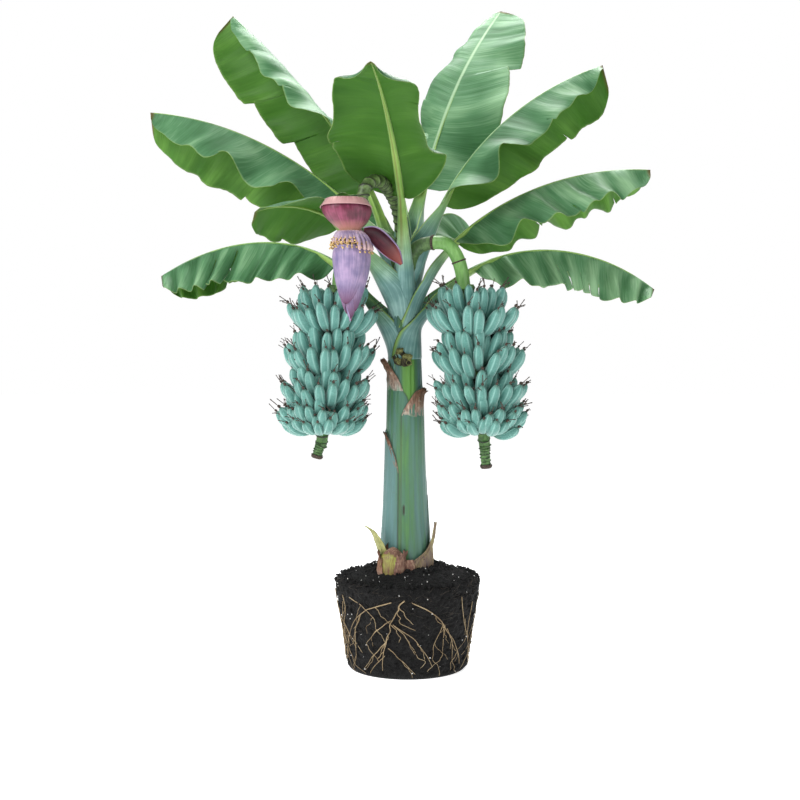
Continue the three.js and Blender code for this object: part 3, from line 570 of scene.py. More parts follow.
def tube(name, points, radius, sides, reference=(0, 1, 0), rows=None, span=(1.0, 1.0), section=None, squash=1.0):
    """A closed limb along a path. `radius(u)` is its radius; `section(u, angle)` may vary it round the limb."""
    points = np.asarray(points, float)
    sideways, upper = path_frames(points, reference)
    steps = np.linspace(0, 1, len(points))

    def place(u, v):
        angle = TAU * v
        size = radius(u) * (section(u, angle) if section else 1.0)
        size = size * (u > 1e-6) * (u < 1 - 1e-6)
        return (between(u, steps, points) + between(u, steps, sideways) * (size * np.cos(angle))[:, None]
                + between(u, steps, upper) * (size * squash * np.sin(angle))[:, None])

    return shaped_grid(name, rows or len(points), sides, place, closed=True, span=span)


def joined_copies(name, source, matrices, keep_source=False):
    """One mesh of many copies of a piece, one at each 4 x 4 matrix."""
    mesh = source.data
    count, loops, faces = len(mesh.vertices), len(mesh.loops), len(mesh.polygons)
    coords, corner = np.empty(count * 3, np.float32), np.empty(loops, np.int32)
    start, slot, uv = np.empty(faces, np.int32), np.empty(faces, np.int32), np.empty(loops * 2, np.float32)
    mesh.vertices.foreach_get("co", coords)
    mesh.loops.foreach_get("vertex_index", corner)
    mesh.polygons.foreach_get("loop_start", start)
    mesh.polygons.foreach_get("material_index", slot)
    mesh.uv_layers[0].data.foreach_get("uv", uv)
    matrices = np.asarray(matrices, float)
    copies = len(matrices)
    placed = np.einsum("kij,nj->kni", matrices[:, :3, :3], coords.reshape(-1, 3)) + matrices[:, None, :3, 3]
    made = bpy.data.meshes.new(name)
    made.vertices.add(count * copies)
    made.vertices.foreach_set("co", placed.astype(np.float32).ravel())
    made.loops.add(loops * copies)
    made.loops.foreach_set("vertex_index", (corner[None, :] + count * np.arange(copies)[:, None]).ravel())
    made.polygons.add(faces * copies)
    made.polygons.foreach_set("loop_start", (start[None, :] + loops * np.arange(copies)[:, None]).ravel())
    made.polygons.foreach_set("material_index", np.tile(slot, copies))
    made.update(calc_edges=True)
    made.uv_layers.new(name="UVMap").data.foreach_set("uv", np.tile(uv, copies))
    for finish in mesh.materials:
        made.materials.append(finish)
    piece = bpy.data.objects.new(name, made)
    bpy.context.scene.collection.objects.link(piece)
    deselect()
    piece.select_set(True)
    bpy.context.view_layer.objects.active = piece
    bpy.ops.object.shade_smooth()
    if not keep_source:
        bpy.data.objects.remove(source)
    return piece


def join(name, pieces):
    """Joins pieces into one, under one name."""
    deselect()
    for piece in pieces:
        piece.select_set(True)
    bpy.context.view_layer.objects.active = pieces[0]
    if len(pieces) > 1:
        bpy.ops.object.join()
    joined = bpy.context.view_layer.objects.active
    joined.name = joined.data.name = name
    return joined


def turned(outward, along, place, scale=1.0):
    """4 x 4 matrix that carries +Z to `along` and +X towards `outward`, at a place."""
    z = unit(np.asarray(along, float))
    y = unit(np.cross(z, np.asarray(outward, float)))
    matrix = np.eye(4)
    matrix[:3, 0], matrix[:3, 1], matrix[:3, 2] = np.cross(y, z) * scale, y * scale, z * scale
    matrix[:3, 3] = place
    return matrix


def finish(piece, slot, nodes=(), key=None):
    """Fixes a piece to the plant, hides the CAD nodes it stands for, and gives it its material if it has none."""
    if key:
        piece.data.materials.append(material(key))
    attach(piece, BODY)
    if nodes:
        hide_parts(*nodes)
    return piece


# ---------------------------------------------------------------- leaves
class Half(NamedTuple):
    """Half a leaf blade: widest width, fullness towards its base and tip, curl and wave in degrees, waves along it,
    phase, and its angles to the midrib's sideways direction at equal steps from base to tip."""
    width: float
    base_fullness: float
    tip_fullness: float
    curl: float
    wave: float
    waves: float
    phase: float
    folds: list


class Leaf(NamedTuple):
    """A leaf: where it leaves the stem, its direction and swing, its rise, bend and droop in degrees, the lengths of
    stalk and blade, the two halves, and its tears as (side, share of the blade, depth, drop in metres, step of the
    margin as a share of the width)."""
    name: str
    base: tuple
    azimuth: float
    sway: float
    rise: float
    bend: float
    droop: float
    droop_power: float
    stalk: float
    blade: float
    right: Half
    left: Half
    tears: list


LEAVES = [
    Leaf("low_left", (-0.03, 0.01, 1.6), 163, 5, 66, 28, 70, 0.7, 0.55, 1.03,
         Half(0.22, 0.6, 0.25, -15, 6, 1.7, 0.02, [-35, -40, -30, -45, -80, -80]),
         Half(0.24, 0.29, 0.22, -5, 14, 3.1, -0.2, [-72, -52, -65, -55, -50, -30]),
         [(-1, 0.66, 0.75, 0.03, 0.10), (-1, 0.55, 0.85, 0.02, 0.08), (1, 0.6, 0.4, 0.02, 0.05)]),
    Leaf("left", (-0.03, 0.02, 1.98), 176, 1, 66, 27, 35, 1.3, 0.47, 1.09,
         Half(0.32, 0.25, 0.25, 10, 8, 1.8, 0.24, [-80, -88, -85, -80, -65, -65]),
         Half(0.27, 0.34, 0.5, 5, 9, 2.9, 0.51, [-35, -35, -50, -40, -50, -80]),
         [(-1, 0.5, 0.2, 0.015, 0.05), (1, 0.34, 0.2, 0.01, 0.08), (-1, 0.2, 0.15, 0.01, 0.05)]),
    Leaf("high_left", (-0.03, 0.04, 1.87), 153, 15, 82, 20, 20, 0.7, 0.56, 1.21,
         Half(0.3, 0.38, 0.25, -20, 4, 1.9, -0.17, [-100, -90, -75, -85, -90, -90]),
         Half(0.25, 0.4, 0.6, -60, 8, 3.4, 0.07, [40, 45, 25, 10, 10, -25]),
         [(1, 0.56, 0.3, 0.015, 0.16), (1, 0.33, 0.3, 0.012, 0.18), (-1, 0.72, 0.3, 0.02, 0.05),
          (-1, 0.45, 0.2, 0.02, 0.05)]),
    Leaf("front", (0.02, -0.05, 1.86), -103, 2, 70, 11, 43, 1.2, 0.51, 0.83,
         Half(0.31, 0.4, 0.6, -60, 16, 2.2, 0.32, [35, 35, 10, 15, 20, 0]),
         Half(0.28, 0.46, 0.6, -75, 18, 1.7, -0.27, [10, 25, 5, 10, 10, -5]),
         [(1, 0.33, 0.14, 0.012, 0.06), (-1, 0.62, 0.12, 0.01, 0.06)]),
    Leaf("high_right", (0, 0.06, 2.05), 66, -20, 71, 13, 13, 1.5, 0.41, 1.33,
         Half(0.32, 0.36, 0.35, -5, 14, 2.3, 0.12, [-35, -35, -25, -10, -15, -25]),
         Half(0.25, 0.6, 0.25, -65, 6, 3.2, -0.5, [5, -5, 15, 25, 10, 15]),
         [(1, 0.58, 0.35, 0.01, 0.24), (-1, 0.62, 0.12, 0.01, 0.08), (-1, 0.4, 0.15, 0.01, 0.05)]),
    Leaf("right", (0.02, 0.02, 2.03), 2, -1, 64, 1, 45, 1, 0.32, 1.09,
         Half(0.28, 0.25, 0.55, 0, 15, 3, 0, [-5, -30, -30, -45, -45, -45]),
         Half(0.3, 0.4, 0.25, 5, 6, 1.8, 0.57, [-80, -90, -85, -65, -70, -95]),
         [(1, 0.3, 0.2, 0.015, 0.08), (-1, 0.62, 0.15, 0.01, 0.05), (1, 0.55, 0.15, 0.01, 0.06)]),
    Leaf("mid_right", (0, 0, 1.81), -1, 12, 66, 22, 46, 0.9, 0.4, 1.09,
         Half(0.25, 0.34, 0.44, 5, 12, 3.1, 0.15, [-35, -50, -40, -55, -40, -70]),
         Half(0.29, 0.42, 0.36, 30, 6, 2.4, -0.06, [-95, -80, -60, -65, -60, -65]),
         [(1, 0.5, 0.25, 0.02, 0.06), (-1, 0.35, 0.2, 0.015, 0.05), (-1, 0.8, 0.2, 0.01, 0.05)]),
    Leaf("low_right", (0, 0.01, 1.72), 16, -6, 52, 23, 66, 0.9, 0.44, 1.06,
         Half(0.22, 0.25, 0.25, -5, 18, 3.5, 0.32, [-50, -55, -75, -80, -75, -30]),
         Half(0.26, 0.58, 0.47, 35, 5, 2, 0.52, [-55, -60, -55, -40, -45, -60]),
         [(1, 0.42, 0.6, 0.03, 0.1), (1, 0.47, 0.45, 0.015, 0.05), (1, 0.56, 0.5, 0.03, 0.1),
          (1, 0.6, 0.3, 0.02, 0.04), (1, 0.66, 0.35, 0.02, 0.04), (-1, 0.58, 0.5, 0.03, 0.05)]),
    Leaf("front_left", (-0.02, -0.05, 1.83), -152, 20, 59, 23, 57, 0.8, 0.49, 0.52,
         Half(0.22, 0.25, 0.36, 0, 2, 3.5, -0.65, [-25, -40, -45, -50, -45, -50]),
         Half(0.18, 0.35, 0.55, -40, 4, 2.4, -0.31, [70, 60, 35, 25, 25, 35]),
         [(1, 0.4, 0.15, 0.01, 0.05)]),
    Leaf("back_right", (0.01, 0.05, 1.92), 68, 0, 62, 22, 70, 0.9, 0.34, 0.85,
         Half(0.2, 0.3, 0.45, -10, 8, 2.5, 0.1, [-25, -45, -55, -55, -55, -50]),
         Half(0.22, 0.4, 0.4, -10, 8, 2.5, 0.6, [-55, -50, -45, -45, -45, -45]),
         [(1, 0.45, 0.4, 0.02, 0.06), (-1, 0.6, 0.35, 0.02, 0.06)]),
    Leaf("back_left", (-0.02, 0.05, 1.94), 120, 8, 64, 14, 62, 0.9, 0.36, 0.95,
         Half(0.24, 0.4, 0.45, -10, 8, 2.5, 0.3, [-60, -50, -45, -45, -45, -45]),
         Half(0.24, 0.3, 0.4, -10, 8, 2.5, 0.7, [-30, -45, -50, -50, -50, -50]),
         [(-1, 0.5, 0.4, 0.02, 0.06), (1, 0.3, 0.3, 0.02, 0.05), (1, 0.68, 0.4, 0.03, 0.06)]),
    Leaf("back", (-0.008, 0.062, 2), 106, -6, 82, 20, 55, 1.1, 0.4, 1.1,
         Half(0.24, 0.4, 0.4, -10, 8, 2.5, 0.2, [35, 20, 0, -15, -20, -30]),
         Half(0.24, 0.4, 0.4, -10, 8, 2.5, 0.8, [35, 20, 0, -15, -20, -30]),
         [(1, 0.4, 0.25, 0.015, 0.05), (-1, 0.55, 0.3, 0.02, 0.06)]),
]
# How much paler or darker than usual a leaf is, partly its own tone and partly painted light and shade on the whole
# leaf, and how much deeper and wider its broad folds are.
LEAF_TONE_AND_LIGHT = {"low_right": 0.08, "mid_right": 0.05, "high_right": 0.02, "low_left": -0.07, "front_left": -0.09,
         "front": -0.05}
FOLDS = {"low_left": (1.5, 0.75), "low_right": (1.5, 0.72), "mid_right": (1.2, 0.95), "left": (0.7, 1.3),
         "right": (0.7, 1.3), "high_left": (0.5, 1.2), "high_right": (0.4, 1.5), "front": (0.6, 1.7), "front_left": (0.35, 1.0)}
# Height in metres of the scallops along a leaf's margins, and the distance from one to the next.
SCALLOPS = {"left": 0.026, "right": 0.028, "mid_right": 0.030, "high_left": 0.018, "high_right": 0.010,
            "front": 0.012}
SCALLOP_PITCH = 0.13
SLANT = 0.10  # share of the blade by which a side vein runs on towards the tip before it meets the margin
VEIN_CURVE = 1.4


def leaf_line(leaf):
    """Distances and frames (centre, sideways, upper) along a leaf's stalk and midrib."""
    s = np.linspace(-0.2, leaf.stalk + leaf.blade, 360)
    on_stalk = np.clip(s / leaf.stalk, 0, 1)
    on_blade = np.clip((s - leaf.stalk) / leaf.blade, 0, 1)
    rise = np.radians(leaf.rise - leaf.bend * on_stalk - leaf.droop * on_blade ** leaf.droop_power)
    azimuth = np.radians(leaf.azimuth + leaf.sway * on_blade)
    level = np.stack([np.cos(azimuth), np.sin(azimuth), np.zeros_like(s)], 1)
    forward = level * np.cos(rise)[:, None] + UP * np.sin(rise)[:, None]
    upper = -level * np.sin(rise)[:, None] + UP * np.cos(rise)[:, None]
    steps = 0.5 * (forward[1:] + forward[:-1]) * (s[1] - s[0])
    centre = np.vstack([np.zeros(3), np.cumsum(steps, 0)])
    centre += np.array(leaf.base) - between(0.0, s, centre)
    return s, centre, np.cross(forward, upper), upper


def half_width(form, u):
    a, b = form.base_fullness, form.tip_fullness
    peak = (a / (a + b)) ** a * (b / (a + b)) ** b
    return form.width * np.maximum(u, 0) ** a * np.maximum(1 - u, 0) ** b / peak


def vein_shift(u):
    return SLANT * 4 * u * (1 - u)


def half_table(leaf, side, rows=260, columns=24):
    """Points and upper normals of half a blade, for even steps along the midrib and from midrib to margin."""
    form = leaf.right if side > 0 else leaf.left
    u = np.linspace(0, 1, rows)[:, None]
    s, centre, sideways, upper = leaf_line(leaf)
    at = leaf.stalk + u[:, 0] * leaf.blade
    centre, sideways, upper = (between(at, s, values) for values in (centre, sideways, upper))

    def angles(t):
        place = u + vein_shift(u) * (1 - t ** VEIN_CURVE)
        wave = form.wave * np.sin(TAU * (form.waves * place + form.phase)) * np.minimum(1, 1.5 * t)
        return np.radians(spline(form.folds, u) + form.curl * t + wave)

    middle = angles((np.arange(columns) + 0.5)[None, :] / columns)
    step = half_width(form, u) / columns
    across = np.hstack([np.zeros((rows, 1)), np.cumsum(np.cos(middle) * step * side, 1)])
    lift = np.hstack([np.zeros((rows, 1)), np.cumsum(np.sin(middle) * step, 1)])
    points = centre[:, None] + across[..., None] * sideways[:, None] + lift[..., None] * upper[:, None]
    angle = angles(np.linspace(0, 1, columns + 1)[None, :])[..., None]
    faces = -side * np.sin(angle) * sideways[:, None] + np.cos(angle) * upper[:, None]
    return points, faces


def sample(table, row, column):
    """Bilinear values of a table at fractional rows and columns."""
    r = np.clip(np.floor(row).astype(int), 0, table.shape[0] - 2)
    c = np.clip(np.floor(column).astype(int), 0, table.shape[1] - 2)
    fr, fc = (row - r)[:, None], (column - c)[:, None]
    return ((1 - fr) * ((1 - fc) * table[r, c] + fc * table[r, c + 1])
            + fr * ((1 - fc) * table[r + 1, c] + fc * table[r + 1, c + 1]))


def blade(leaf, sizes, rows, columns):
    """One leaf blade with its veins' pleats, its tears and a ragged margin. The grid's first half is the leaf's
    right, so that its faces look up."""
    seed = sum(map(ord, leaf.name))
    tables = {side: half_table(leaf, side) for side in (-1, 1)}
    gap = 0.5 / rows
    deeper, wider = FOLDS.get(leaf.name, (0.7, 1.1))

    def torn(u, v):
        gone = np.zeros(len(u), bool)
        for side, share, depth, _, _ in leaf.tears:
            row = (math.floor(share * rows) + 0.5) / rows
            gone |= (np.abs(u - row) < gap) & ((1 - 2 * v) * side > 1 - depth)
        return gone

    def fold(u, v):
        t = np.abs(2 * v - 1)
        wave = folds(u + 0.03 * t, sizes.fold_pitch * wider / leaf.blade, seed + 3)
        return deeper * t ** 0.5 * wave * smooth(0, 0.12, t) * smooth(0, 0.04, u) * smooth(1, 0.97, u)

    def place(u, v):
        side = np.where(v < 0.5, 1, -1)
        t = np.abs(2 * v - 1)
        ragged = 1 - 0.006 * (1 + ripple(u, 0.018, seed)) - 0.015 * (1 + ripple(u, 0.07, seed + 1))
        drop = np.zeros_like(u)
        shift = np.zeros_like(u)
        for tear_side, share, depth, fall, step in leaf.tears:
            row = (math.floor(share * rows) + 0.5) / rows
            open_share = smooth(1 - depth, 1, t) * (side == tear_side)
            towards_tip = u > row
            drop += fall * open_share * towards_tip * np.exp(-np.abs(u - row) / 0.10)
            shift += open_share * np.sign(u - row) * (0.003 + 0.006 * (depth > 0.55)) * np.exp(-np.abs(u - row) / 0.03)
            ragged -= step * (side == tear_side) * ~towards_tip * np.exp(-np.abs(u - row) / 0.12)
            ragged -= 0.03 * open_share * np.exp(-np.abs(u - row) / 0.008)
        along = u + shift + vein_shift(u) * t ** VEIN_CURVE
        pleats = sizes.pleat_depth * ripple(u, sizes.pleat_pitch / leaf.blade, seed + 2 + side * 7)
        pleats = pleats * smooth(0, 0.12, t) * smooth(0, 0.04, u) * smooth(1, 0.97, u)
        scallop = SCALLOPS.get(leaf.name, 0.01) * t ** 2 * folds(u, SCALLOP_PITCH / leaf.blade, seed + 9 + side)
        pleats = pleats + sizes.fold_depth * fold(u, v) + scallop * smooth(0, 0.06, u) * smooth(1, 0.95, u)
        points = np.empty((len(u), 3))
        for half in (-1, 1):
            mine = side == half
            table, faces = tables[half]
            row = np.clip(along[mine], 0, 1) * (table.shape[0] - 1)
            column = np.clip(t[mine] * ragged[mine], 0, 1) * (table.shape[1] - 1)
            points[mine] = (sample(table, row, column)
                            + sample(faces, row, column) * (pleats[mine] - drop[mine])[:, None])
        return points

    # A whole leaf's tone shift, partly painted light and shade.
    def tone(u, v):
        return np.full(len(u), LEAF_TONE_AND_LIGHT.get(leaf.name, 0.0))

    # The fold attribute carries the broad fold wave to the leaf materials, which paint shade in its valleys and
    # highlight on its ridges.
    piece = shaped_grid(f"leaf_{leaf.name}", rows, columns, place, cut=torn, values={"fold": fold, "tone": tone})
    map_blade(piece, leaf)
    return piece


def map_blade(piece, leaf):
    """Makes the UV map metres from the tip along the rib, and -1 to 1 across the blade."""
    layer = piece.data.uv_layers[0].data
    flat = np.empty(len(layer) * 2, np.float32)
    layer.foreach_get("uv", flat)
    uv = flat.reshape(-1, 2)
    layer.foreach_set("uv", np.stack([(1 - uv[:, 0]) * leaf.blade, 2 * uv[:, 1] - 1], 1).ravel())


# ---------------------------------------------------------------- stem and its sheaths
class Sheath(NamedTuple):
    """A leaf sheath wrapped round the stem: the azimuth of its back, how green it is, and half the angle in degrees
    that it covers at rising heights, the last of which is its top."""
    azimuth: float
    green: float
    heights: tuple
    halves: tuple


STEM = np.array([
    [0.398, -0.008, 0.134], [0.480, -0.008, 0.130], [0.560, -0.009, 0.122], [0.675, -0.010, 0.116],
    [0.810, -0.011, 0.107], [1.065, -0.012, 0.097], [1.375, -0.013, 0.090], [1.605, -0.014, 0.082],
    [1.720, -0.014, 0.078], [1.830, -0.013, 0.070], [1.930, -0.010, 0.058], [2.000, -0.006, 0.044],
    [2.040, -0.002, 0.020],
])
LEAFLESS_SHEATHS = [
    Sheath(150, 0.42, (1.30, 1.36, 1.39, 1.455, 1.505, 1.55), (135, 127, 114, 97, 74, 50)),
    Sheath(10, 0.34, (1.20, 1.268, 1.30, 1.345, 1.385, 1.415), (112, 111, 102, 85, 67, 35)),
    Sheath(95, 0.40, (1.00, 1.20, 1.36), (60, 52, 40)), Sheath(60, 0.40, (0.50, 0.80, 1.02), (90, 70, 36)),
    Sheath(150, 0.02, (0.98, 1.05, 1.11, 1.165, 1.20), (101, 94, 79, 62, 46)),
    Sheath(108, 0.20, (0.45, 0.70, 0.86), (80, 62, 36)),
]
SLIT = {"azimuth": -94.0, "z": 0.80, "half_height": 0.034, "half_width": 0.007}
# Heights and half-angles of the sheaths whose margins show in the crown. The others follow WRAP from their base.
CROWN_WRAPS = {
    "low_left": ((1.45, 1.60, 1.66, 1.70, 1.76, 1.82), (168, 140, 122, 108, 82, 60)),
    "low_right": ((1.45, 1.60, 1.64, 1.68, 1.70, 1.75, 1.79), (172, 150, 140, 125, 110, 70, 48)),
    "mid_right": ((1.50, 1.70, 1.80, 1.887, 1.93), (165, 115, 79, 46, 34)),
    "front_left": ((1.50, 1.75, 1.84, 1.887, 1.93, 1.985), (170, 150, 130, 112, 88, 60)),
}
WRAP = ((-0.70, -0.30, -0.10, 0.0, 0.08, 0.14), (175, 150, 118, 102, 80, 60))
OUTERMOST = "low_right"  # of the living leaves, the one whose sheath wraps over the rest


def living_sheath(leaf, green=0.2):
    """The sheath of a leaf."""
    if leaf.name in CROWN_WRAPS:
        return Sheath(leaf.azimuth, green, *CROWN_WRAPS[leaf.name])
    return Sheath(leaf.azimuth, green, tuple(leaf.base[2] + step for step in WRAP[0]), WRAP[1])


def wrapped_sheaths():
    """Every sheath in the order in which they wrap the stem, the innermost first."""
    rng = np.random.default_rng(11)
    living = sorted(LEAVES, key=lambda leaf: (leaf.name == OUTERMOST, -leaf.base[2]))
    bare = sorted(LEAFLESS_SHEATHS, key=lambda sheath: -sheath.heights[-1])
    return [living_sheath(leaf, rng.uniform(0.0, 0.3)) for leaf in living] + bare


def stalk_order(leaf):
    """How many sheaths lie inside a leaf's own."""
    living = sorted(LEAVES, key=lambda other: (other.name == OUTERMOST, -other.base[2]))
    return living.index(leaf)


def half_angle(sheath, z):
    """Half the angle, in degrees, that a sheath covers at some heights."""
    return between(z, sheath.heights, sheath.halves)


def sheath_relief(order, step):
    return (order - 12) * step


def turn_from(theta, azimuth):
    """Angle between directions round the stem, in radians, -pi to pi."""
    return (theta - math.radians(azimuth) + math.pi) % TAU - math.pi


def sheath_layers(z, theta, step):
    """Relief in metres, greenness, and darkness along the sheaths' margins and in the slit, where the dark is painted
    shade.
    """
    relief, green, edge = np.full_like(z, sheath_relief(0, step)), np.full_like(z, 0.2), np.zeros_like(z)
    radius = between(z, STEM[:, 0], STEM[:, 2])
    for order, sheath in enumerate(wrapped_sheaths()):
        below = sheath.heights[-1] - z
        half = np.radians(half_angle(sheath, z))
        inside = (half - np.abs(turn_from(theta, sheath.azimuth))) * radius
        cover = smooth(-0.0015, 0.0015, inside) * smooth(0, 0.02, below)
        relief = relief * (1 - cover) + cover * sheath_relief(order, step)
        green = green * (1 - cover) + cover * sheath.green
        line = np.exp(-(inside / 0.0035) ** 2) * (below > 0) * 0.75
        edge = np.maximum(edge * (1 - cover), line)
    slit = ((turn_from(theta, SLIT["azimuth"]) * radius / SLIT["half_width"]) ** 2
            + ((z - SLIT["z"]) / SLIT["half_height"]) ** 2)
    # The slit is a hollow in the skin, and its dark colour is painted shade.
    slit_and_painted_shade = smooth(1.0, 0.2, slit)
    fresh = np.exp(-(turn_from(theta, -76) * radius / 0.043) ** 4) * smooth(1.60, 1.54, z)
    green = green + 0.9 * fresh * (relief < sheath_relief(len(LEAVES) - 0.5, step))
    green = green + 0.18 * np.exp(-(turn_from(theta, -96) * radius / 0.030) ** 2) * smooth(1.30, 1.15, z)
    green = green * (1 - 0.8 * smooth(1.52, 1.66, z))
    green = green + 0.9 * np.exp(-((z - 1.74) / 0.05) ** 4 - (turn_from(theta, -95) / 0.4) ** 2)
    green = green - 0.25 * smooth(0.75, 0.5, z) * (turn_from(theta, -150) < 0.6)
    return relief - 0.008 * slit_and_painted_shade, green, np.maximum(edge, slit_and_painted_shade)


def stem_piece(sizes):
    """The pseudostem: one closed skin with the steps of its wrapped sheaths and their swellings under the stalks."""
    low, high = STEM[0, 0], STEM[-1, 0]

    def spot(u, v):
        return low + (high - low) * u, TAU * v

    def place(u, v):
        z, theta = spot(u, v)
        radius = between(z, STEM[:, 0], STEM[:, 2]) + sheath_layers(z, theta, sizes.sheath_step)[0]
        radius += 0.0012 * np.sin(23 * theta + 3 * np.sin(2.1 * z)) + 0.001 * ripple(theta * 20 + z, 1.0, 5)
        radius = radius * (u > 1e-6) * (u < 1 - 1e-6)
        centre = between(z, STEM[:, 0], STEM[:, 1])
        return np.stack([centre + radius * np.cos(theta), radius * np.sin(theta), z], 1)

    values = {"tint": lambda u, v: sheath_layers(*spot(u, v), sizes.sheath_step)[1],
              "edge": lambda u, v: sheath_layers(*spot(u, v), sizes.sheath_step)[2]}
    return shaped_grid("pseudostem_skin", 420, 132, place, closed=True, values=values)


def shell(name, keys, axis, radius, azimuth, half_angle, rows=24, columns=14, thickness=0.003, fray=0.0, seed=0,
          sag=0.0):
    """A scale wrapped part of the way round an upright axis, its sides `sag` metres lower than its middle. `axis(u)` gives its centres, `radius(u, side)` its
    distance from them, and azimuth(u) and half_angle(u), in degrees, where it lies."""
    def place(u, v):
        side = 2 * v - 1
        turn = np.radians(azimuth(u) + side * half_angle(u))
        centre = axis(u)
        out = radius(u, side)
        height = fray * ripple(v, 0.09, seed) * smooth(0.6, 1, u) - sag * side ** 2 * u
        return centre + np.stack([out * np.cos(turn), out * np.sin(turn), height], 1)

    piece = shaped_grid(name, rows, columns, place)
    face_away(piece, axis(np.array([0.5]))[0])
    thicken(piece, thickness, keys)
    return piece


def face_away(piece, point):
    """Turns an open skin's faces away from a point inside it."""
    total = sum((face.normal.dot(face.center - Vector(point)) * face.area for face in piece.data.polygons), 0.0)
    if total < 0:
        flip(piece)


def flip(piece):
    deselect()
    piece.select_set(True)
    bpy.context.view_layer.objects.active = piece
    bpy.ops.object.mode_set(mode="EDIT")
    bpy.ops.mesh.select_all(action="SELECT")
    bpy.ops.mesh.flip_normals()
    bpy.ops.object.mode_set(mode="OBJECT")


def stem_axis(z):
    return np.stack([between(z, STEM[:, 0], STEM[:, 1]), np.zeros_like(z), z], 1)


STALK_NUDGE = {"front": (-0.030, 0.048, 0.0)}  # metres that a stalk's foot stands off its leaf's line


RIB_SCALE = {"front": 2.3, "high_right": 1.8, "high_left": 1.3}  # ribs that are thicker than usual


def petiole(leaf, order, sizes):
    """Leaf stalk: a sheath wrapped round the stem that narrows to a channelled stalk and runs on under the blade as
    its midrib. It is an arc of some radius and half-angle, thick in its middle, swept along the leaf's line."""
    s, centre, sideways, upper = leaf_line(leaf)
    start, end = -0.18 if leaf.name == OUTERMOST else -0.16, leaf.stalk + leaf.blade * 0.992
    outward = np.array([math.cos(math.radians(leaf.azimuth)), math.sin(math.radians(leaf.azimuth)), 0.0])

    def place(u, v):
        at = start + u * (end - start) + 0.014 * ripple(v * 6, 0.4, 7) * np.exp(-u / 0.02)
        on_stalk = np.clip(at / leaf.stalk, 0, 1)
        on_blade = np.clip((at - leaf.stalk) / leaf.blade, 0, 1)
        slim = 1 - (1 - on_stalk) ** 1.2
        rib = smooth(0, 0.22, on_blade)
        narrow = sizes.stalk_narrow * (0.6 if leaf.name == "front" else 1)
        wide = sizes.stalk_wide + (narrow - sizes.stalk_wide) * slim
        rib_wide = sizes.rib_half_width * RIB_SCALE.get(leaf.name, 1)
        wide = wide * (1 - rib) + rib * (rib_wide * (1 - on_blade) + 0.0015)
        half = np.radians(100 - 10 * rib)
        arc = wide / np.sin(half)
        thick = (0.013 - 0.004 * slim) * (1 - rib) + rib * 0.8 * arc
        apex = between(at, s, centre) - between(at, s, upper) * (arc * (1 - np.cos(half)) + 0.002)[:, None]
        apex += np.array(STALK_NUDGE.get(leaf.name, (0, 0, 0))) * (1 - on_stalk)[:, None]
        z = apex[:, 2]
        hug = between(z, STEM[:, 0], STEM[:, 2]) + sheath_relief(order, sizes.sheath_step) + 0.002
        hug = hug + 0.002 * (leaf.name == OUTERMOST)
        hug = hug - (0.001 if leaf.name == OUTERMOST else 0.009) * smooth(start + 0.08, start, at)
        inside = hug - (apex - stem_axis(z)) @ outward
        push = np.where(at < 0.5 * leaf.stalk, np.logaddexp(0, inside / 0.007) * 0.007, 0)
        apex = apex + outward * (push * smooth(0.5, 0.4, at / leaf.stalk))[:, None]
        free = smooth(0.03, -0.03, inside)
        wrap = np.radians(half_angle(living_sheath(leaf), z))
        if leaf.name == "low_left":
            wrap = wrap * (1 - 0.5 * smooth(1.60, 1.55, z))
        away = unit(outward * (1 - free[:, None]) - between(at, s, upper) * free[:, None])
        across = unit(np.cross(UP, -outward) * (1 - free[:, None]) + between(at, s, sideways) * free[:, None])
        opening = smooth(0.06, 0.34, at)[:, None]
        outer = v < 0.5
        side = np.where(outer, 1 - 4 * v, 4 * v - 3)
        ends = smooth(0, 0.004, u) * smooth(1, 0.997, u)
        wall = np.where(outer, 0, thick * (1 - side ** 2) + 0.002 * (1 - side ** 8))
        turn = side * half
        stalk = (apex + across * ((arc - wall) * np.sin(turn) * ends)[:, None]
                 + away * (((arc - wall) * np.cos(turn) - arc) * ends)[:, None])
        back = (apex - stem_axis(z)) @ outward
        turn = side * wrap
        reach = hug + (back - hug) * np.exp(-(turn / 0.8) ** 2) - np.where(outer, 0, 0.003 * (1 - side ** 8))
        reach = reach * ends
        sheath = (stem_axis(z) + outward * (reach * np.cos(turn))[:, None]
                  + np.cross(UP, -outward) * (reach * np.sin(turn))[:, None])
        return sheath * (1 - opening) + stalk * opening

    columns = 64 if leaf.name == OUTERMOST else 32
    return shaped_grid(f"stalk_and_rib_{leaf.name}", 130, columns, place, closed=True, span=(end - start, 1.0))


# Dry sheath ends on the stem, foot to tip: azimuth, height and lift off the stem along their two edges.
FLAPS = {
    "sheath_left": [[(194, 1.380, 0.002), (196, 1.468, 0.006), (193, 1.507, 0.019), (190, 1.545, 0.044)],
                    [(265, 1.388, 0.002), (247, 1.455, 0.005), (224, 1.505, 0.007), (203, 1.555, 0.026)]],
    "sheath_right": [[(259, 1.262, 0.002), (268, 1.300, 0.004), (285, 1.345, 0.005), (303, 1.385, 0.007),
                      (335, 1.410, 0.020)],
                     [(344, 1.252, 0.002), (347, 1.300, 0.004), (351, 1.345, 0.005), (351, 1.370, 0.009),
                      (349, 1.386, 0.027)]],
    "sheath_low_left": [[(245, 0.925, 0.001), (240, 1.012, 0.003), (217, 1.115, 0.005), (190, 1.194, 0.022)],
                        [(248, 0.925, 0.001), (249, 1.005, 0.004), (230, 1.110, 0.006), (206, 1.186, 0.012)]],
    "scar_tuft": [[(247, 1.512, 0.001), (236, 1.530, 0.003), (231, 1.568, 0.004), (243, 1.597, 0.006)],
                  [(277, 1.506, 0.001), (290, 1.528, 0.003), (285, 1.560, 0.006), (262, 1.606, 0.008)]],
}
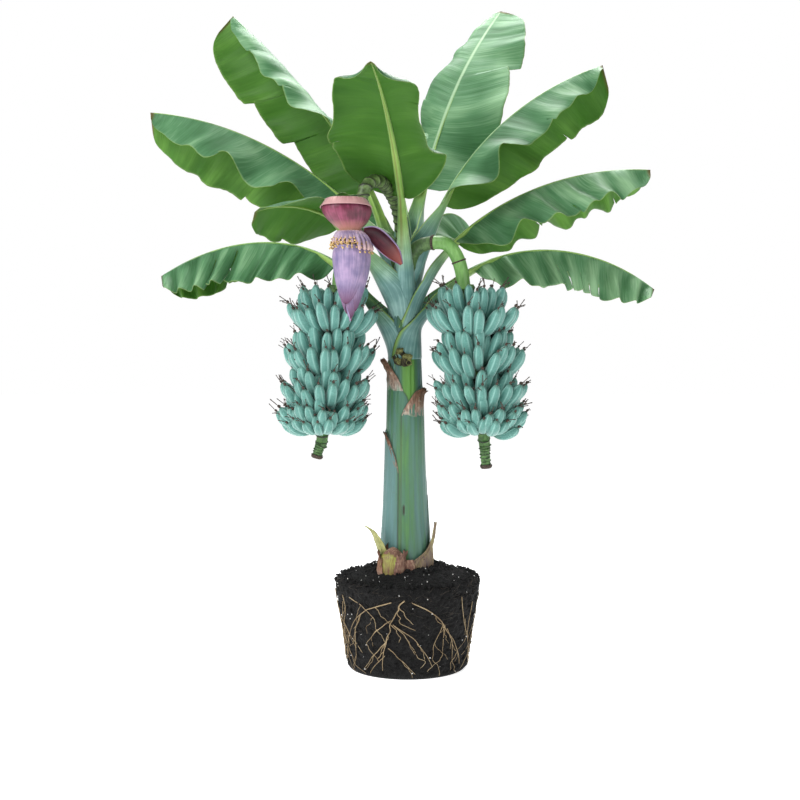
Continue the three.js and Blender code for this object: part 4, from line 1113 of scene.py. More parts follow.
TORN_BITS = [  # small torn ends that stand off the scar, foot to tip as above
    [[(238, 1.570, 0.006), (244, 1.590, 0.016), (250, 1.606, 0.014)],
     [(262, 1.566, 0.006), (264, 1.588, 0.018), (268, 1.600, 0.012)]],
    [[(262, 1.548, 0.006), (266, 1.566, 0.020), (274, 1.574, 0.018)],
     [(290, 1.540, 0.006), (292, 1.560, 0.018), (290, 1.570, 0.012)]],
    [[(242, 1.520, 0.005), (240, 1.540, 0.014), (246, 1.556, 0.016)],
     [(256, 1.516, 0.005), (258, 1.540, 0.014), (256, 1.552, 0.012)]],
]


def off_stem(azimuth, z, lift):
    """Points at some azimuth in degrees, height and distance off the stem's skin."""
    turn = np.radians(azimuth)
    reach = between(z, STEM[:, 0], STEM[:, 2]) + lift
    return stem_axis(z) + np.stack([reach * np.cos(turn), reach * np.sin(turn), np.zeros_like(z)], 1)


def flap(name, edges, keys, seed, crumple=0.003, rows=34, columns=22, thickness=0.002, fray=0.05):
    """A papery strip between two edges on the stem, puckered, with a ragged tip and rolled margins."""
    left, right = (np.array(edge) for edge in edges)

    def place(u, v):
        ragged = u * (1 - fray * (1 + ripple(v, 0.11, seed)))
        ragged = ragged + (1 - u) * 0.06 * (1 + ripple(v, 0.16, seed + 7)) * (fray > 0.03)
        wander = v + 0.05 * ripple(u * 4, 0.35, seed + 1) * (1 - np.abs(2 * v - 1))
        spot = spline(left, ragged) * (1 - wander)[:, None] + spline(right, ragged) * wander[:, None]
        pucker = crumple * (ripple(v * 5 + u, 0.5, seed + 2) + 0.6 * ripple(u * 7 + v, 0.6, seed + 3))
        roll = 0.004 * np.abs(2 * v - 1) ** 3 * smooth(0.1, 0.7, u)
        return off_stem(spot[:, 0], spot[:, 1], np.maximum(spot[:, 2] + pucker * smooth(0, 0.15, u) + roll, 0.0005))

    piece = shaped_grid(name, rows, columns, place)
    face_away(piece, (0.0, 0.0, float(left[len(left) // 2][1])))
    thicken(piece, thickness, keys)
    return piece


def torn_scar():
    """The torn hollow where an old stalk came away: a dark patch, curled bits round it and a ring."""
    patch = flap("scar", FLAPS["scar_tuft"], ["scar", "scar"], 41, crumple=0.009, fray=0.22)
    bits = [flap(f"bit_{order}", edges, ["scar rim", "scar"], 50 + order, crumple=0.006, rows=20, columns=16, fray=0.2)
            for order, edges in enumerate(TORN_BITS)]
    turn = np.linspace(0, TAU, 30)[:-1]
    ring = off_stem(283 + 8 * np.cos(turn), 1.528 + 0.012 * np.sin(turn), 0.007 + 0.004 * np.cos(2 * turn))
    loop = tube("ring", np.vstack([ring, ring[:1]]), lambda u: 0.0025 + 0.0008 * np.sin(9 * u), 8,
                reference=(0.1, 1, 0.1))
    loop.data.materials.append(material("scar rim"))
    return join("dry_scar_tuft", [patch, *bits, loop])


# ---------------------------------------------------------------- young growth at the foot
BUD_LINE = [(-0.076, -0.128, 0.440), (-0.076, -0.138, 0.500), (-0.074, -0.140, 0.560), (-0.070, -0.132, 0.620),
            (-0.068, -0.124, 0.672)]
# Torn scales round the sucker: name, azimuth, half-angle at the foot, top as a share, lift, materials.
SUCKER_SCALES = [
    ("back", 80, 135, 0.92, 0.006, ["scar", "dry sheath"]), ("right", -24, 62, 0.70, 0.008, ["sucker scale", "scar"]),
    ("left", 184, 46, 0.66, 0.010, ["dry sheath", "scar"]),
]
WRAP_EDGES = [[(258, 0.440, 0.004), (264, 0.490, 0.014), (284, 0.548, 0.018), (318, 0.604, 0.020),
               (334, 0.662, 0.028), (339, 0.737, 0.044)],
              [(352, 0.440, 0.004), (352, 0.520, 0.014), (353, 0.580, 0.015), (352, 0.620, 0.018),
               (350, 0.668, 0.034), (345, 0.733, 0.050)]]


def sucker_radius(share):
    """Radius of the sucker bud by the share of its height."""
    return between(share, [0, 0.15, 0.35, 0.55, 0.75, 0.9, 1.0], [0.056, 0.063, 0.065, 0.058, 0.046, 0.036, 0.030])


def base_growth():
    """The sucker bud in its torn scales, a spike on the left, a wrap with a twisted point on the right, small ends."""
    bulb = tube("sucker_heart", spline(BUD_LINE, np.linspace(0, 0.76, 24)),
                lambda u: 1.04 * sucker_radius(u * 0.76) * np.sqrt(np.clip(1 - smooth(0.60, 1.02, u) ** 2, 0.0, 1)), 30,
                section=lambda u, angle: 1 + 0.03 * np.cos(5 * angle + 4 * u))
    for key in ("green scale", "sucker scale"):
        bulb.data.materials.append(material(key))
    middles = np.array([face.center for face in bulb.data.polygons])
    bare = middles[:, 2] < 0.585 + 0.020 * ripple(middles[:, 0] * 40, 0.5, 3) - 0.25 * (middles[:, 0] + 0.07)
    bulb.data.polygons.foreach_set("material_index", np.where(bare, 0, 1).astype(np.int32))
    finish(bulb, "young_growth", ["sucker_bud"])
    for order, (name, azimuth, half, top, lift, keys) in enumerate(SUCKER_SCALES):
        def axis(u, top=top):
            return spline(BUD_LINE, np.clip(u * top, 0, 1))

        def radius(u, side, top=top, lift=lift, order=order):
            curl = 0.010 * smooth(0.8, 1, u)
            return (sucker_radius(u * top) + lift + curl + 0.004 * ripple(side * 2 + u * 3, 0.5, order)
                    + 0.003 * ripple(u * 6 + side, 0.7, order + 9))

        def half_width(u, half=half):
            return half * (1 - 0.22 * u ** 2)

        scale = shell(f"sucker_scale_{name}", keys, axis, radius, lambda u, azimuth=azimuth: np.full_like(u, azimuth),
                      half_width, rows=30, columns=24, thickness=0.003, fray=0.012, seed=order + 20,
                      sag=0.09 if name == "back" else 0.03)
        finish(scale, "young_growth")
    wrap = flap("scale_bract_right", WRAP_EDGES, ["wrap scale", "scar"], 61, crumple=0.004, rows=44, fray=0.02)
    finish(wrap, "young_growth", ["bract_right"])
    blades = [  # name, line, half-widths, cup, materials
        ("spike_bract_left", [(-0.100, -0.104, 0.440), (-0.122, -0.112, 0.560), (-0.150, -0.116, 0.645),
                              (-0.178, -0.114, 0.695), (-0.213, -0.110, 0.722)],
         (0.040, 0.036, 0.030, 0.022, 0.002), 0.3, ["spike scale", "spike scale"]),
        ("bract_front", [(0.004, -0.146, 0.440), (0.006, -0.166, 0.510), (0.010, -0.160, 0.560)],
         (0.044, 0.040, 0.022), 0.6, ["sucker scale", "scar"]),
        ("bract_back_left", [(-0.100, 0.060, 0.440), (-0.134, 0.062, 0.510), (-0.140, 0.056, 0.584)],
         (0.040, 0.032, 0.004), 0.6, ["dry sheath", "sucker scale"]),
        ("bract_back_right", [(0.060, 0.118, 0.440), (0.074, 0.142, 0.520), (0.078, 0.140, 0.600)],
         (0.046, 0.040, 0.004), 0.6, ["dry sheath", "sucker scale"]),
    ]
    for order, (name, line, halves, cup, keys) in enumerate(blades):
        piece = cupped_blade(f"scale_{name}", keys, line, halves, cup, (-0.008, 0.0, 0.0), order)
        finish(piece, "young_growth", [name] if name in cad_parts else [])


def cupped_blade(name, keys, line, halves, cup, axis_foot, seed, thickness=0.003, rows=30, columns=14):
    """A pointed scale along a line, cupped round the stem whose axis is at `axis_foot`."""
    line = np.array(line)

    def place(u, v):
        side = 2 * v - 1
        centre = spline(line, u)
        outward = unit((centre - np.array(axis_foot)) * (1, 1, 0))
        across = np.cross(outward, UP)
        half = np.maximum(spline(halves, u), 0.0015) * (1 + 0.06 * ripple(u * 2 + v * 0.2, 0.1, seed))
        bend = np.radians(100 * cup) * side
        wave = 0.003 * ripple(u * 3 + side, 0.5, seed + 3)
        return (centre + across * (half * np.sin(bend) / np.radians(100 * cup) / 0.85)[:, None]
                - outward * (half * (1 - np.cos(bend)) / np.radians(100 * cup) - wave)[:, None])

    piece = shaped_grid(name, rows, columns, place)
    face_away(piece, (axis_foot[0], axis_foot[1], line[len(line) // 2][2]))
    thicken(piece, thickness, keys)
    return piece


# ---------------------------------------------------------------- root ball
def ball_radius(z):
    return between(z, [0.0, 0.035, 0.20, 0.36, 0.432], [0.296, 0.302, 0.322, 0.352, 0.360])


def soil_body():
    """The peat block: a tapered cylinder with a crumbled skin, a broken rim and a flat underside."""
    profile = np.array([(0.0, 0.0), (0.15, 0.0), (0.290, 0.0), (0.300, 0.012), (0.322, 0.20), (0.352, 0.36),
                        (0.360, 0.425), (0.345, 0.452), (0.290, 0.464), (0.235, 0.488), (0.18, 0.508),
                        (0.12, 0.506), (0.0, 0.508)])
    lengths = np.r_[0, np.cumsum(np.linalg.norm(np.diff(profile, axis=0), axis=1))]
    lengths /= lengths[-1]

    def place(u, v):
        theta = TAU * v
        flat = between(u, lengths, profile)
        ahead = between(np.clip(u + 0.004, 0, 1), lengths, profile) - between(np.clip(u - 0.004, 0, 1), lengths, profile)
        out = unit(np.stack([ahead[:, 1], -ahead[:, 0]], 1))
        spots = np.stack([flat[:, 0] * np.cos(theta), flat[:, 0] * np.sin(theta), flat[:, 1]], 1)
        rough = 0.007 * lumps(spots, 0.05) + 0.007 * lumps(spots, 0.018) + 0.0035 * lumps(spots, 0.009)
        rough *= smooth(0.0, 0.03, flat[:, 1])
        rough[(u < 1e-6) | (u > 1 - 1e-6)] = 0
        spots[:, 0] += out[:, 0] * rough * np.cos(theta)
        spots[:, 1] += out[:, 0] * rough * np.sin(theta)
        spots[:, 2] += out[:, 1] * rough
        return spots

    return shaped_grid("peat_block", 230, 330, place, closed=True)


def rough_grain(name, seed):
    """A small uneven stone or crumb, about 1 across."""
    deselect()
    bpy.ops.mesh.primitive_ico_sphere_add(subdivisions=1, radius=0.5)
    piece = bpy.context.object
    piece.name = piece.data.name = name
    rng = np.random.default_rng(seed)
    for vertex in piece.data.vertices:
        vertex.co *= rng.uniform(0.7, 1.15)
    return piece


def scattered(name, rng, count, sizes, top_share, sink, seed, lift=0.0):
    """Grains strewn over the root ball's top and side, joined into one piece."""
    matrices = []
    for _ in range(count):
        theta = rng.uniform(0, TAU)
        size = rng.uniform(*sizes) * rng.uniform(0.6, 1)
        if rng.uniform() < top_share:
            radius = 0.352 * math.sqrt(rng.uniform(0.1, 1))
            ground = 0.460 + 0.050 * float(smooth(0.29, 0.17, radius))
            spot = (radius * math.cos(theta), radius * math.sin(theta), ground + lift + size * sink)
        else:
            z = rng.uniform(0.02, 0.45)
            radius = ball_radius(z) + lift + size * sink
            spot = (radius * math.cos(theta), radius * math.sin(theta), z)
        place = turned(rng.normal(size=3), rng.normal(size=3), spot, size)
        place[:3, :3] = place[:3, :3] * rng.uniform(0.7, 1.3, 3)
        matrices.append(place)
    return joined_copies(name, rough_grain(name + "_grain", seed), matrices)


# Thick roots on the front of the ball: azimuth and height of the points along each, and its radius at the start.
FRONT_ROOTS = [
    ([(-92, 0.40), (-97, 0.37), (-98, 0.34), (-104, 0.28), (-106, 0.22), (-111, 0.14), (-113, 0.04)], 0.0055),
    ([(-103, 0.30), (-115, 0.25), (-128, 0.17)], 0.003), ([(-108, 0.19), (-120, 0.12), (-133, 0.04)], 0.0035),
    ([(-102, 0.28), (-92, 0.22), (-84, 0.15)], 0.0025), ([(-102, 0.28), (-82, 0.19), (-67, 0.06)], 0.0028),
    ([(-107, 0.16), (-95, 0.10), (-83, 0.03)], 0.0028), ([(-110, 0.12), (-122, 0.05), (-126, 0.02)], 0.002),
    ([(-102, 0.39), (-116, 0.36), (-130, 0.32), (-150, 0.20), (-165, 0.05)], 0.0042),
    ([(-142, 0.39), (-129, 0.36), (-118, 0.31), (-117, 0.25)], 0.0025),
    ([(-130, 0.32), (-139, 0.22), (-142, 0.10), (-150, 0.03)], 0.003),
    ([(-87, 0.39), (-67, 0.32), (-54, 0.23), (-40, 0.12), (-35, 0.05)], 0.004),
    ([(-67, 0.32), (-60, 0.26), (-58, 0.13)], 0.003), ([(-56, 0.25), (-48, 0.16), (-46, 0.07)], 0.0025),
    ([(-60, 0.27), (-66, 0.18), (-68, 0.10)], 0.002), ([(-44, 0.40), (-36, 0.28), (-21, 0.13)], 0.0025),
    ([(-28, 0.36), (-26, 0.22), (-18, 0.08)], 0.0022), ([(-152, 0.36), (-160, 0.22), (-158, 0.08)], 0.0022),
]


def grown_roots(rng):
    """Roots for the sides and back by a seeded rule: each wanders down and sends off thinner ones."""
    roots = []
    for start in range(-5, 206, 19):
        azimuth, z = start + rng.uniform(-5, 5), rng.uniform(0.34, 0.41)
        line = [(azimuth, z)]
        while z > 0.07:
            azimuth += rng.uniform(-9, 9)
            z -= rng.uniform(0.04, 0.09)
            line.append((azimuth, max(z, 0.02)))
        roots.append((line, rng.uniform(0.0028, 0.0048)))
        for fork in range(1, len(line) - 1):
            way = rng.choice([-1, 1])
            spread = [(line[fork][0] + way * rng.uniform(6, 10) * k, max(line[fork][1] - 0.045 * k, 0.015))
                      for k in range(4)]
            roots.append((spread, rng.uniform(0.0015, 0.0026)))
    return roots


def forked(roots, rng):
    """Thin side roots that leave the given ones and run down."""
    made = []
    for line, thick in roots:
        for start in range(1, len(line)):
            azimuth, z = line[start]
            way = rng.choice([-1, 1])
            if z > 0.06:
                made.append(([(azimuth + way * rng.uniform(1.5, 5) * k, max(z - 0.03 * k, 0.012)) for k in range(4)],
                             0.5 * thick))
    return made


def root_pieces():
    """All the thick roots, lying half in the surface of the ball."""
    rng = np.random.default_rng(31)
    made = []
    for order, (line, thick) in enumerate(FRONT_ROOTS + forked(FRONT_ROOTS, rng) + grown_roots(rng)):
        u = np.linspace(0, 1, 9 * len(line))
        polar = spline(line, u)
        polar[:, 0] += 1.3 * ripple(u * len(line), 0.6, order) * np.sin(np.pi * u)
        turn = np.radians(polar[:, 0])
        radius = ball_radius(polar[:, 1]) + 0.0075 + 0.002 * ripple(u * len(line), 1.0, order + 50)
        points = np.stack([radius * np.cos(turn), radius * np.sin(turn), polar[:, 1]], 1)
        middle = points[len(points) // 2]
        made.append(tube(f"root_{order}", points, lambda s, thick=thick: 0.5 * thick * (1 - 0.7 * s) + 0.0006, 7,
                         reference=middle * (1, 1, 0)))
    return join("roots", made)


def fine_fibres():
    """Hair-thin roots that loop out of the peat, most of them along the rim."""
    rng = np.random.default_rng(47)
    made = []
    for order in range(260):
        turn = rng.uniform(0, TAU)
        z = 0.46 - abs(rng.normal(0, 0.13))
        z = min(max(z, 0.03), 0.455)
        u = np.linspace(0, 1, 7)
        length = rng.uniform(0.03, 0.09)
        slope = rng.uniform(-1.2, 1.2)
        angle = turn + u * length * math.cos(slope) / 0.33
        height = np.clip(z + u * length * math.sin(slope) * 0.7 + 0.006 * ripple(u, 0.4, order), 0.01, 0.474)
        radius = ball_radius(height) + 0.002 + rng.uniform(0.001, 0.006) * np.sin(np.pi * u)
        points = np.stack([radius * np.cos(angle), radius * np.sin(angle), height], 1)
        made.append(tube(f"fibre_{order}", points, lambda s: np.full_like(s, 0.0007), 3, reference=points[3] * (1, 1, 0)))
    return join("fine_fibres", made)


# ---------------------------------------------------------------- fruit
class Bunch(NamedTuple):
    """A bunch of fruit: its side, the top, foot and tail end of its axis, and its stalk's two stretches."""
    side: str
    top: tuple
    foot: tuple
    tail: tuple
    rise: list
    drop: list


BUNCHES = [
    Bunch("left", (-0.352, -0.100, 1.903), (-0.420, -0.100, 1.165), (-0.447, -0.100, 1.070),
          [(-0.040, -0.022, 1.990), (-0.070, -0.040, 2.100), (-0.138, -0.066, 2.158), (-0.216, -0.084, 2.160)],
          [(-0.214, -0.084, 2.160), (-0.290, -0.098, 2.100), (-0.325, -0.100, 2.010), (-0.340, -0.100, 1.885)]),
    Bunch("right", (0.292, -0.145, 1.903), (0.374, -0.145, 1.165), (0.385, -0.145, 1.025),
          [(0.000, -0.025, 1.985), (0.024, -0.058, 2.062), (0.066, -0.100, 2.102), (0.123, -0.130, 2.116)],
          [(0.120, -0.130, 2.116), (0.186, -0.150, 2.108), (0.234, -0.150, 2.056), (0.262, -0.148, 1.980),
           (0.276, -0.145, 1.885)]),
]
class Hand(NamedTuple):
    """A hand of fruit: its size, and for its outer and inner rows the directions in degrees above level in which
    their fingers start and end, and how far their tips stand below the top of the bunch."""
    size: float
    outer: tuple
    inner: tuple


HANDS = [
    Hand(1.06, (-8, 68, 0.100), (18, 82, 0.005)), Hand(1.06, (-8, 68, 0.300), (16, 82, 0.205)),
    Hand(1.02, (-12, 66, 0.470), (10, 80, 0.390)), Hand(0.94, (-20, 60, 0.580), (4, 74, 0.510)),
    Hand(0.86, (-42, 48, 0.650), (-18, 58, 0.605)),
]
FINGER = {"outer": (0.055, 0.185), "inner": (0.040, 0.185)}  # lengths of stalk and body
CORE_ROW = (34, 88)  # directions of the innermost fingers, which fill the gaps round the axis


def row_form(hand, row):
    """Directions and tip depth of a row; the core stands a little above the inner row."""
    if row == "core":
        return (*CORE_ROW, hand.inner[2] + 0.01)
    return getattr(hand, row)


def finger_piece(name, row, hand, radius):
    """One banana, its foot at the origin, growing outwards along x and curving up: a stalked foot, a five-sided body
    and a blunt neck. Also gives the points of its axis."""
    stalk, body = (part * hand.size for part in FINGER.get(row, (0.015, 0.165)))
    start, end, _ = row_form(hand, row)
    share = np.linspace(0, 1, 40)
    angle = np.radians(start + (end - start) * np.clip(share * 1.05, 0, 1) ** 0.85)
    step = (stalk + body) / 39
    line = np.zeros((40, 3))
    line[1:, 0] = np.cumsum(np.cos(0.5 * (angle[1:] + angle[:-1])) * step)
    line[1:, 2] = np.cumsum(np.sin(0.5 * (angle[1:] + angle[:-1])) * step)

    def size(u):
        on_body = (u * (stalk + body) - stalk) / body
        return 0.008 + (radius - 0.008) * smooth(-0.25, 0.42, on_body) * smooth(1.03, 0.70, on_body) ** 0.7

    piece = tube(name, line, size, 10, rows=14, section=lambda u, angle: 1 + 0.05 * np.cos(5 * angle))
    return piece, line


def remnant_pieces():
    """Withered flower ends, three forms: a dark crown with up to two bent styles. Each about 1 long."""
    forms = []
    for order, styles in enumerate(([(0.25, 0.9)], [(0.45, 0.8), (-0.5, 0.5)], [(0.3, 0.25)])):
        crown = tube(f"crown_{order}", [(0, 0, -0.14), (0, 0, 0.04), (0, 0, 0.16), (0.02, 0, 0.26)],
                     lambda u: 0.17 * (1 - 0.45 * u), 6)
        parts = [crown]
        for k, (lean, height) in enumerate(styles):
            turn = 2.1 * k + order
            way = np.array([math.cos(turn), math.sin(turn), 0]) * lean
            points = [UP * 0.2, 0.35 * way + UP * (0.2 + 0.35 * height), way * 0.7 + UP * (0.2 + 0.75 * height),
                      way + UP * (0.2 + height)]
            parts.append(tube(f"style_{order}_{k}", spline(points, np.linspace(0, 1, 6)),
                              lambda u: 0.042 + 0.05 * smooth(0.75, 0.95, u), 5, reference=(0.2, 1, 0.1)))
        forms.append(join(f"remnant_form_{order}", parts))
    return forms


def fruit_places(bunch, lines, counts):
    """Matrices of every finger of a bunch by hand and row, and places of the withered flower ends on their tips."""
    rng = np.random.default_rng(71 if bunch.side == "left" else 72)
    top, foot = np.array(bunch.top), np.array(bunch.foot)
    places, ends = {}, []
    for number, hand in enumerate(HANDS):
        for row in counts:
            line, count = lines[number, row], counts[row] if hand.inner[1] > 60 or row != "core" else 0
            matrices = []
            offset = rng.uniform(0, 1)
            for k in range(count):
                turn = TAU * (k + offset + rng.uniform(-0.16, 0.16)) / count
                outward = np.array([math.cos(turn), math.sin(turn), 0.0])
                scale = rng.uniform(0.93, 1.05)
                z = top[2] - row_form(hand, row)[2] + rng.uniform(-0.012, 0.012) + 0.007 * (-1) ** k
                z -= line[-1, 2] * scale
                centre = foot + (top - foot) * (z - foot[2]) / (top[2] - foot[2])
                tilt = math.radians(rng.uniform(-8, 8))
                lean = math.radians(rng.uniform(-5, 5))
                upward = UP * math.cos(tilt) + np.cross(UP, outward) * math.sin(tilt) + outward * math.sin(lean)
                matrix = turned(outward, upward, centre + outward * 0.028, scale)
                matrices.append(matrix)
                tip = matrix[:3, :3] @ line[-1] + matrix[:3, 3]
                heading = unit(unit(matrix[:3, :3] @ (line[-1] - line[-4])) + 0.7 * outward)
                if row != "core":
                    ends.append((tip, heading, rng.uniform(0, TAU), rng.uniform(0.036, 0.056), int(rng.integers(3))))
            places[number, row] = matrices
    return places, ends


def stalk_rings(pitch, depth, length):
    """Radius factor of leaf or flower scars that ring a stalk of some length."""
    def factor(u, angle):
        place = u * length / pitch + 0.25 * np.sin(angle)
        ring = np.exp(-((place % 1 - 0.5) / 0.13) ** 2)
        return 1 + depth * ring + 0.02 * np.sin(3 * angle + 5 * u)
    return factor


FRUIT_STALK_RADIUS = 0.033


def fruit_stalks(bunch):
    """The bunch's stalk in two stretches, the axis among the fingers and the scarred tail below them."""
    rise = tube(f"fruit_stalk_{bunch.side}_rise_skin", spline(bunch.rise, np.linspace(0, 1, 40)),
                lambda u: FRUIT_STALK_RADIUS * (1.06 - 0.06 * u), 26, reference=(0.2, 1, 0),
                section=stalk_rings(0.042, 0.06, 0.2))
    finish(rise, "fruit_stalk", [f"fruit_stalk_{bunch.side}_rise"], "stalk collar")
    drop = tube(f"fruit_stalk_{bunch.side}_drop_skin", spline(bunch.drop, np.linspace(0, 1, 60)),
                lambda u: FRUIT_STALK_RADIUS * (1.02 - 0.04 * u), 28, reference=(0.2, 1, 0),
                section=lambda u, angle: 1 + 0.05 * np.exp(-((u - 0.62) / 0.012) ** 2) + 0.015 * np.sin(4 * angle))
    finish(drop, "fruit_stalk", [f"fruit_stalk_{bunch.side}_drop"], "fruit stalk")
    rings = []
    for share, size, width in ((0.03, 1.16, 0.008), (0.62, 1.13, 0.005)):
        spots = spline(bunch.drop, np.array([share - 0.02, share, share + 0.02]))
        way = unit(spots[2] - spots[0])
        rings.append(tube(f"ring_{share}", [spots[1] - way * width, spots[1], spots[1] + way * width],
                          lambda u, size=size: FRUIT_STALK_RADIUS * size * (0.9 + 0.1 * np.sin(np.pi * u)), 24,
                          reference=(0.2, 1, 0), rows=8, section=lambda u, angle: 1 + 0.03 * np.sin(5 * angle)))
    finish(join(f"stalk_rings_{bunch.side}", rings), "fruit_stalk", key="remnant")
    top, foot, tail = (np.array(p) for p in (bunch.top, bunch.foot, bunch.tail))
    axis = np.array([top + UP * 0.01, 0.5 * (top + foot), foot, 0.5 * (foot + tail), tail])
    length = np.linalg.norm(top - tail)

    def tail_radius(u):
        return 0.030 - 0.007 * smooth(0.3, 0.95, u) + 0.006 * smooth(0.975, 0.99, u)

    def scars(u, angle):
        place = u * length / 0.048 + 0.3 * np.sin(angle)
        lump = np.exp(-((place % 1 - 0.5) / 0.12) ** 2) * (0.5 + 0.5 * np.sin(3 * angle + 2 * np.floor(place)))
        return 1 + 0.28 * lump

    stem = tube(f"fruit_axis_{bunch.side}", spline(axis, np.linspace(0, 1, 90)), tail_radius, 22,
                reference=(0.2, 1, 0), rows=150, section=scars, span=(length, 1.0))
    finish(stem, "fruit_stalk", [f"fruit_tail_{bunch.side}"], "tail")
    end = unit(tail - foot)
    bud = tube(f"tail_end_{bunch.side}", [tail - end * 0.006, tail + end * 0.004, tail + end * 0.012, tail + end * 0.016],
               lambda u: 0.030 * (1 - 0.5 * u ** 3), 18, reference=(0.2, 1, 0), rows=12,
               section=lambda u, angle: 1 + 0.08 * np.sin(7 * angle))
    finish(bud, "fruit_stalk", key="remnant")


# ---------------------------------------------------------------- flower
FLOWER_RISE = [(-0.020, -0.030, 2.010), (-0.028, -0.070, 2.150), (-0.054, -0.150, 2.290), (-0.094, -0.240, 2.362),
               (-0.126, -0.297, 2.390)]
FLOWER_DROP = [(-0.124, -0.293, 2.390), (-0.164, -0.362, 2.384), (-0.196, -0.400, 2.350), (-0.216, -0.408, 2.286)]
BUD = np.array([  # height, centre in x, radius
    [1.722, -0.268, 0.004], [1.752, -0.268, 0.020], [1.800, -0.267, 0.040], [1.860, -0.265, 0.060],
    [1.930, -0.262, 0.077], [2.000, -0.260, 0.087], [2.045, -0.261, 0.086], [2.075, -0.263, 0.074],
    [2.115, -0.266, 0.060], [2.152, -0.268, 0.050],
])
FLOWER_Y = -0.410
# Bracts that wrap the bud, outermost last: azimuth, half-angle in degrees, height of the tip, lift.
BUD_BRACTS = [(150, 110, 1.728, 0.000), (20, 100, 1.730, 0.003), (-60, 95, 1.740, 0.006), (170, 95, 1.765, 0.009),
              (60, 90, 1.775, 0.009), (-20, 78, 1.775, 0.012), (-118, 82, 1.808, 0.015)]


def bud_axis(z):
    return np.stack([between(z, BUD[:, 0], BUD[:, 1]), np.full_like(z, FLOWER_Y), z], 1)


def bud_bract(order, azimuth, half, tip, lift):
    """One bract wrapped on the bud, from its shoulder down to a pointed tip."""
    def height(u):
        return 2.085 + (tip - 2.085) * u

    def radius(u, side):
        base = spline_at(height(u), BUD[:, 0], BUD[:, 2]) - 0.010
        return np.maximum(base, 0.004) + lift * (1 - 0.4 * u) - 0.002 * side ** 2 + 0.0008 * np.sin(30 * side)

    return shell(f"bud_bract_{order}", ["bract outer", "bract inner"], lambda u: bud_axis(height(u)), radius,
                 lambda u: np.full_like(u, azimuth), lambda u: half * np.sqrt(np.clip(1 - u ** 3.2, 0.0004, 1)),
                 rows=44, columns=34, thickness=0.002)


def spline_at(x, places, values):
    """Smooth values at x through unevenly spaced places."""
    even = np.linspace(0, 1, len(places))
    return spline(values, np.interp(x, places, even))


def flower_stalk():
    """The flower's stalk: thick, dark and ringed by scars, in its two stretches."""
    for part, line, length in (("rise", FLOWER_RISE, 0.52), ("drop", FLOWER_DROP, 0.18)):
        radius = 0.030
        piece = tube(f"flower_stalk_{part}_skin", spline(line, np.linspace(0, 1, 60)),
                     lambda u, radius=radius: np.full_like(u, radius * 0.94), 30, reference=(1, 0, 0.2),
                     rows=round(length / 0.0032), section=stalk_rings(0.034, 0.16, length), span=(length, 1.0))
        finish(piece, "flower_stalk", [f"flower_stalk_{part}"], "flower stalk")


def flower_bud():
    """The closed bud: a heart wrapped by overlapping bracts."""
    def heart_radius(u):
        z = 1.726 + (2.152 - 1.726) * u
        return np.maximum(spline_at(z, BUD[:, 0], BUD[:, 2]) - 0.012, 0.003)

    heart = tube("bud_heart", bud_axis(np.linspace(1.726, 2.152, 50)), heart_radius, 36, reference=(0, 1, 0),
                 rows=60)
    finish(heart, "bract", ["flower_bud"], "bract outer")
    for order, (azimuth, half, tip, lift) in enumerate(BUD_BRACTS):
        finish(bud_bract(order, azimuth, half, tip, lift), "bract")


def florets(sizes):
    """Two ranks of florets that fan down from the top of the bud, each ending in withered golden flower tips."""
    rng = np.random.default_rng(83)
    crown = np.array([-0.268, FLOWER_Y, 2.152])
    tubes, tips = [], []
    for rank, (low_z, low_r, count) in enumerate(((2.104, 0.076, sizes.floret_count), (2.086, 0.084, sizes.floret_count))):
        for k in range(count):
            turn = TAU * (k + 0.5 * rank) / count
            out = np.array([math.cos(turn), math.sin(turn), 0.0])
            low = np.array([-0.266, FLOWER_Y, low_z]) + out * low_r
            points = [crown + out * 0.046 - UP * 0.004, crown + out * 0.066 - UP * 0.016,
                      low - out * 0.006 + UP * 0.020, low]
            tubes.append(tube(f"floret_{rank}_{k}", spline(points, np.linspace(0, 1, 9)),
                              lambda u: 0.0052 + 0.0035 * u, 8, reference=np.cross(UP, out), rows=9))
            for row in range(5):
                start = low + rng.normal(0, 0.003, 3) + out * 0.005 + UP * (0.008 - 0.006 * row)
                end = start + out * rng.uniform(0.003, 0.009) - UP * rng.uniform(0.004, 0.009)
                tips.append(tube("tip", [start, 0.5 * (start + end) + out * 0.002, end],
                                 lambda u: 0.0030 + 0.0014 * u, 6, reference=np.cross(UP, out), rows=4))
    for k in range(7):
        turn = math.radians(-62 + 15 * k)
        out = np.array([math.cos(turn), math.sin(turn), 0.0])
        points = [crown + out * 0.060 - UP * 0.010, crown + out * 0.092 - UP * 0.045, crown + out * 0.104 - UP * 0.100]
        tubes.append(tube(f"floret_low_{k}", spline(points, np.linspace(0, 1, 9)), lambda u: 0.006 + 0.003 * u, 8,
                          reference=np.cross(UP, out), rows=9))
        start = np.array(points[-1])
        tips.append(tube("tip", [start, start - UP * 0.006 + out * 0.002, start - UP * 0.012 + out * 0.006],
                         lambda u: 0.0032 + 0.001 * u, 6, reference=np.cross(UP, out), rows=4))
    finish(join("floret_fan", tubes), "florets", ["flower_hand"], "floret")
    finish(join("floret_tips", tips), "florets", key="floret tip")


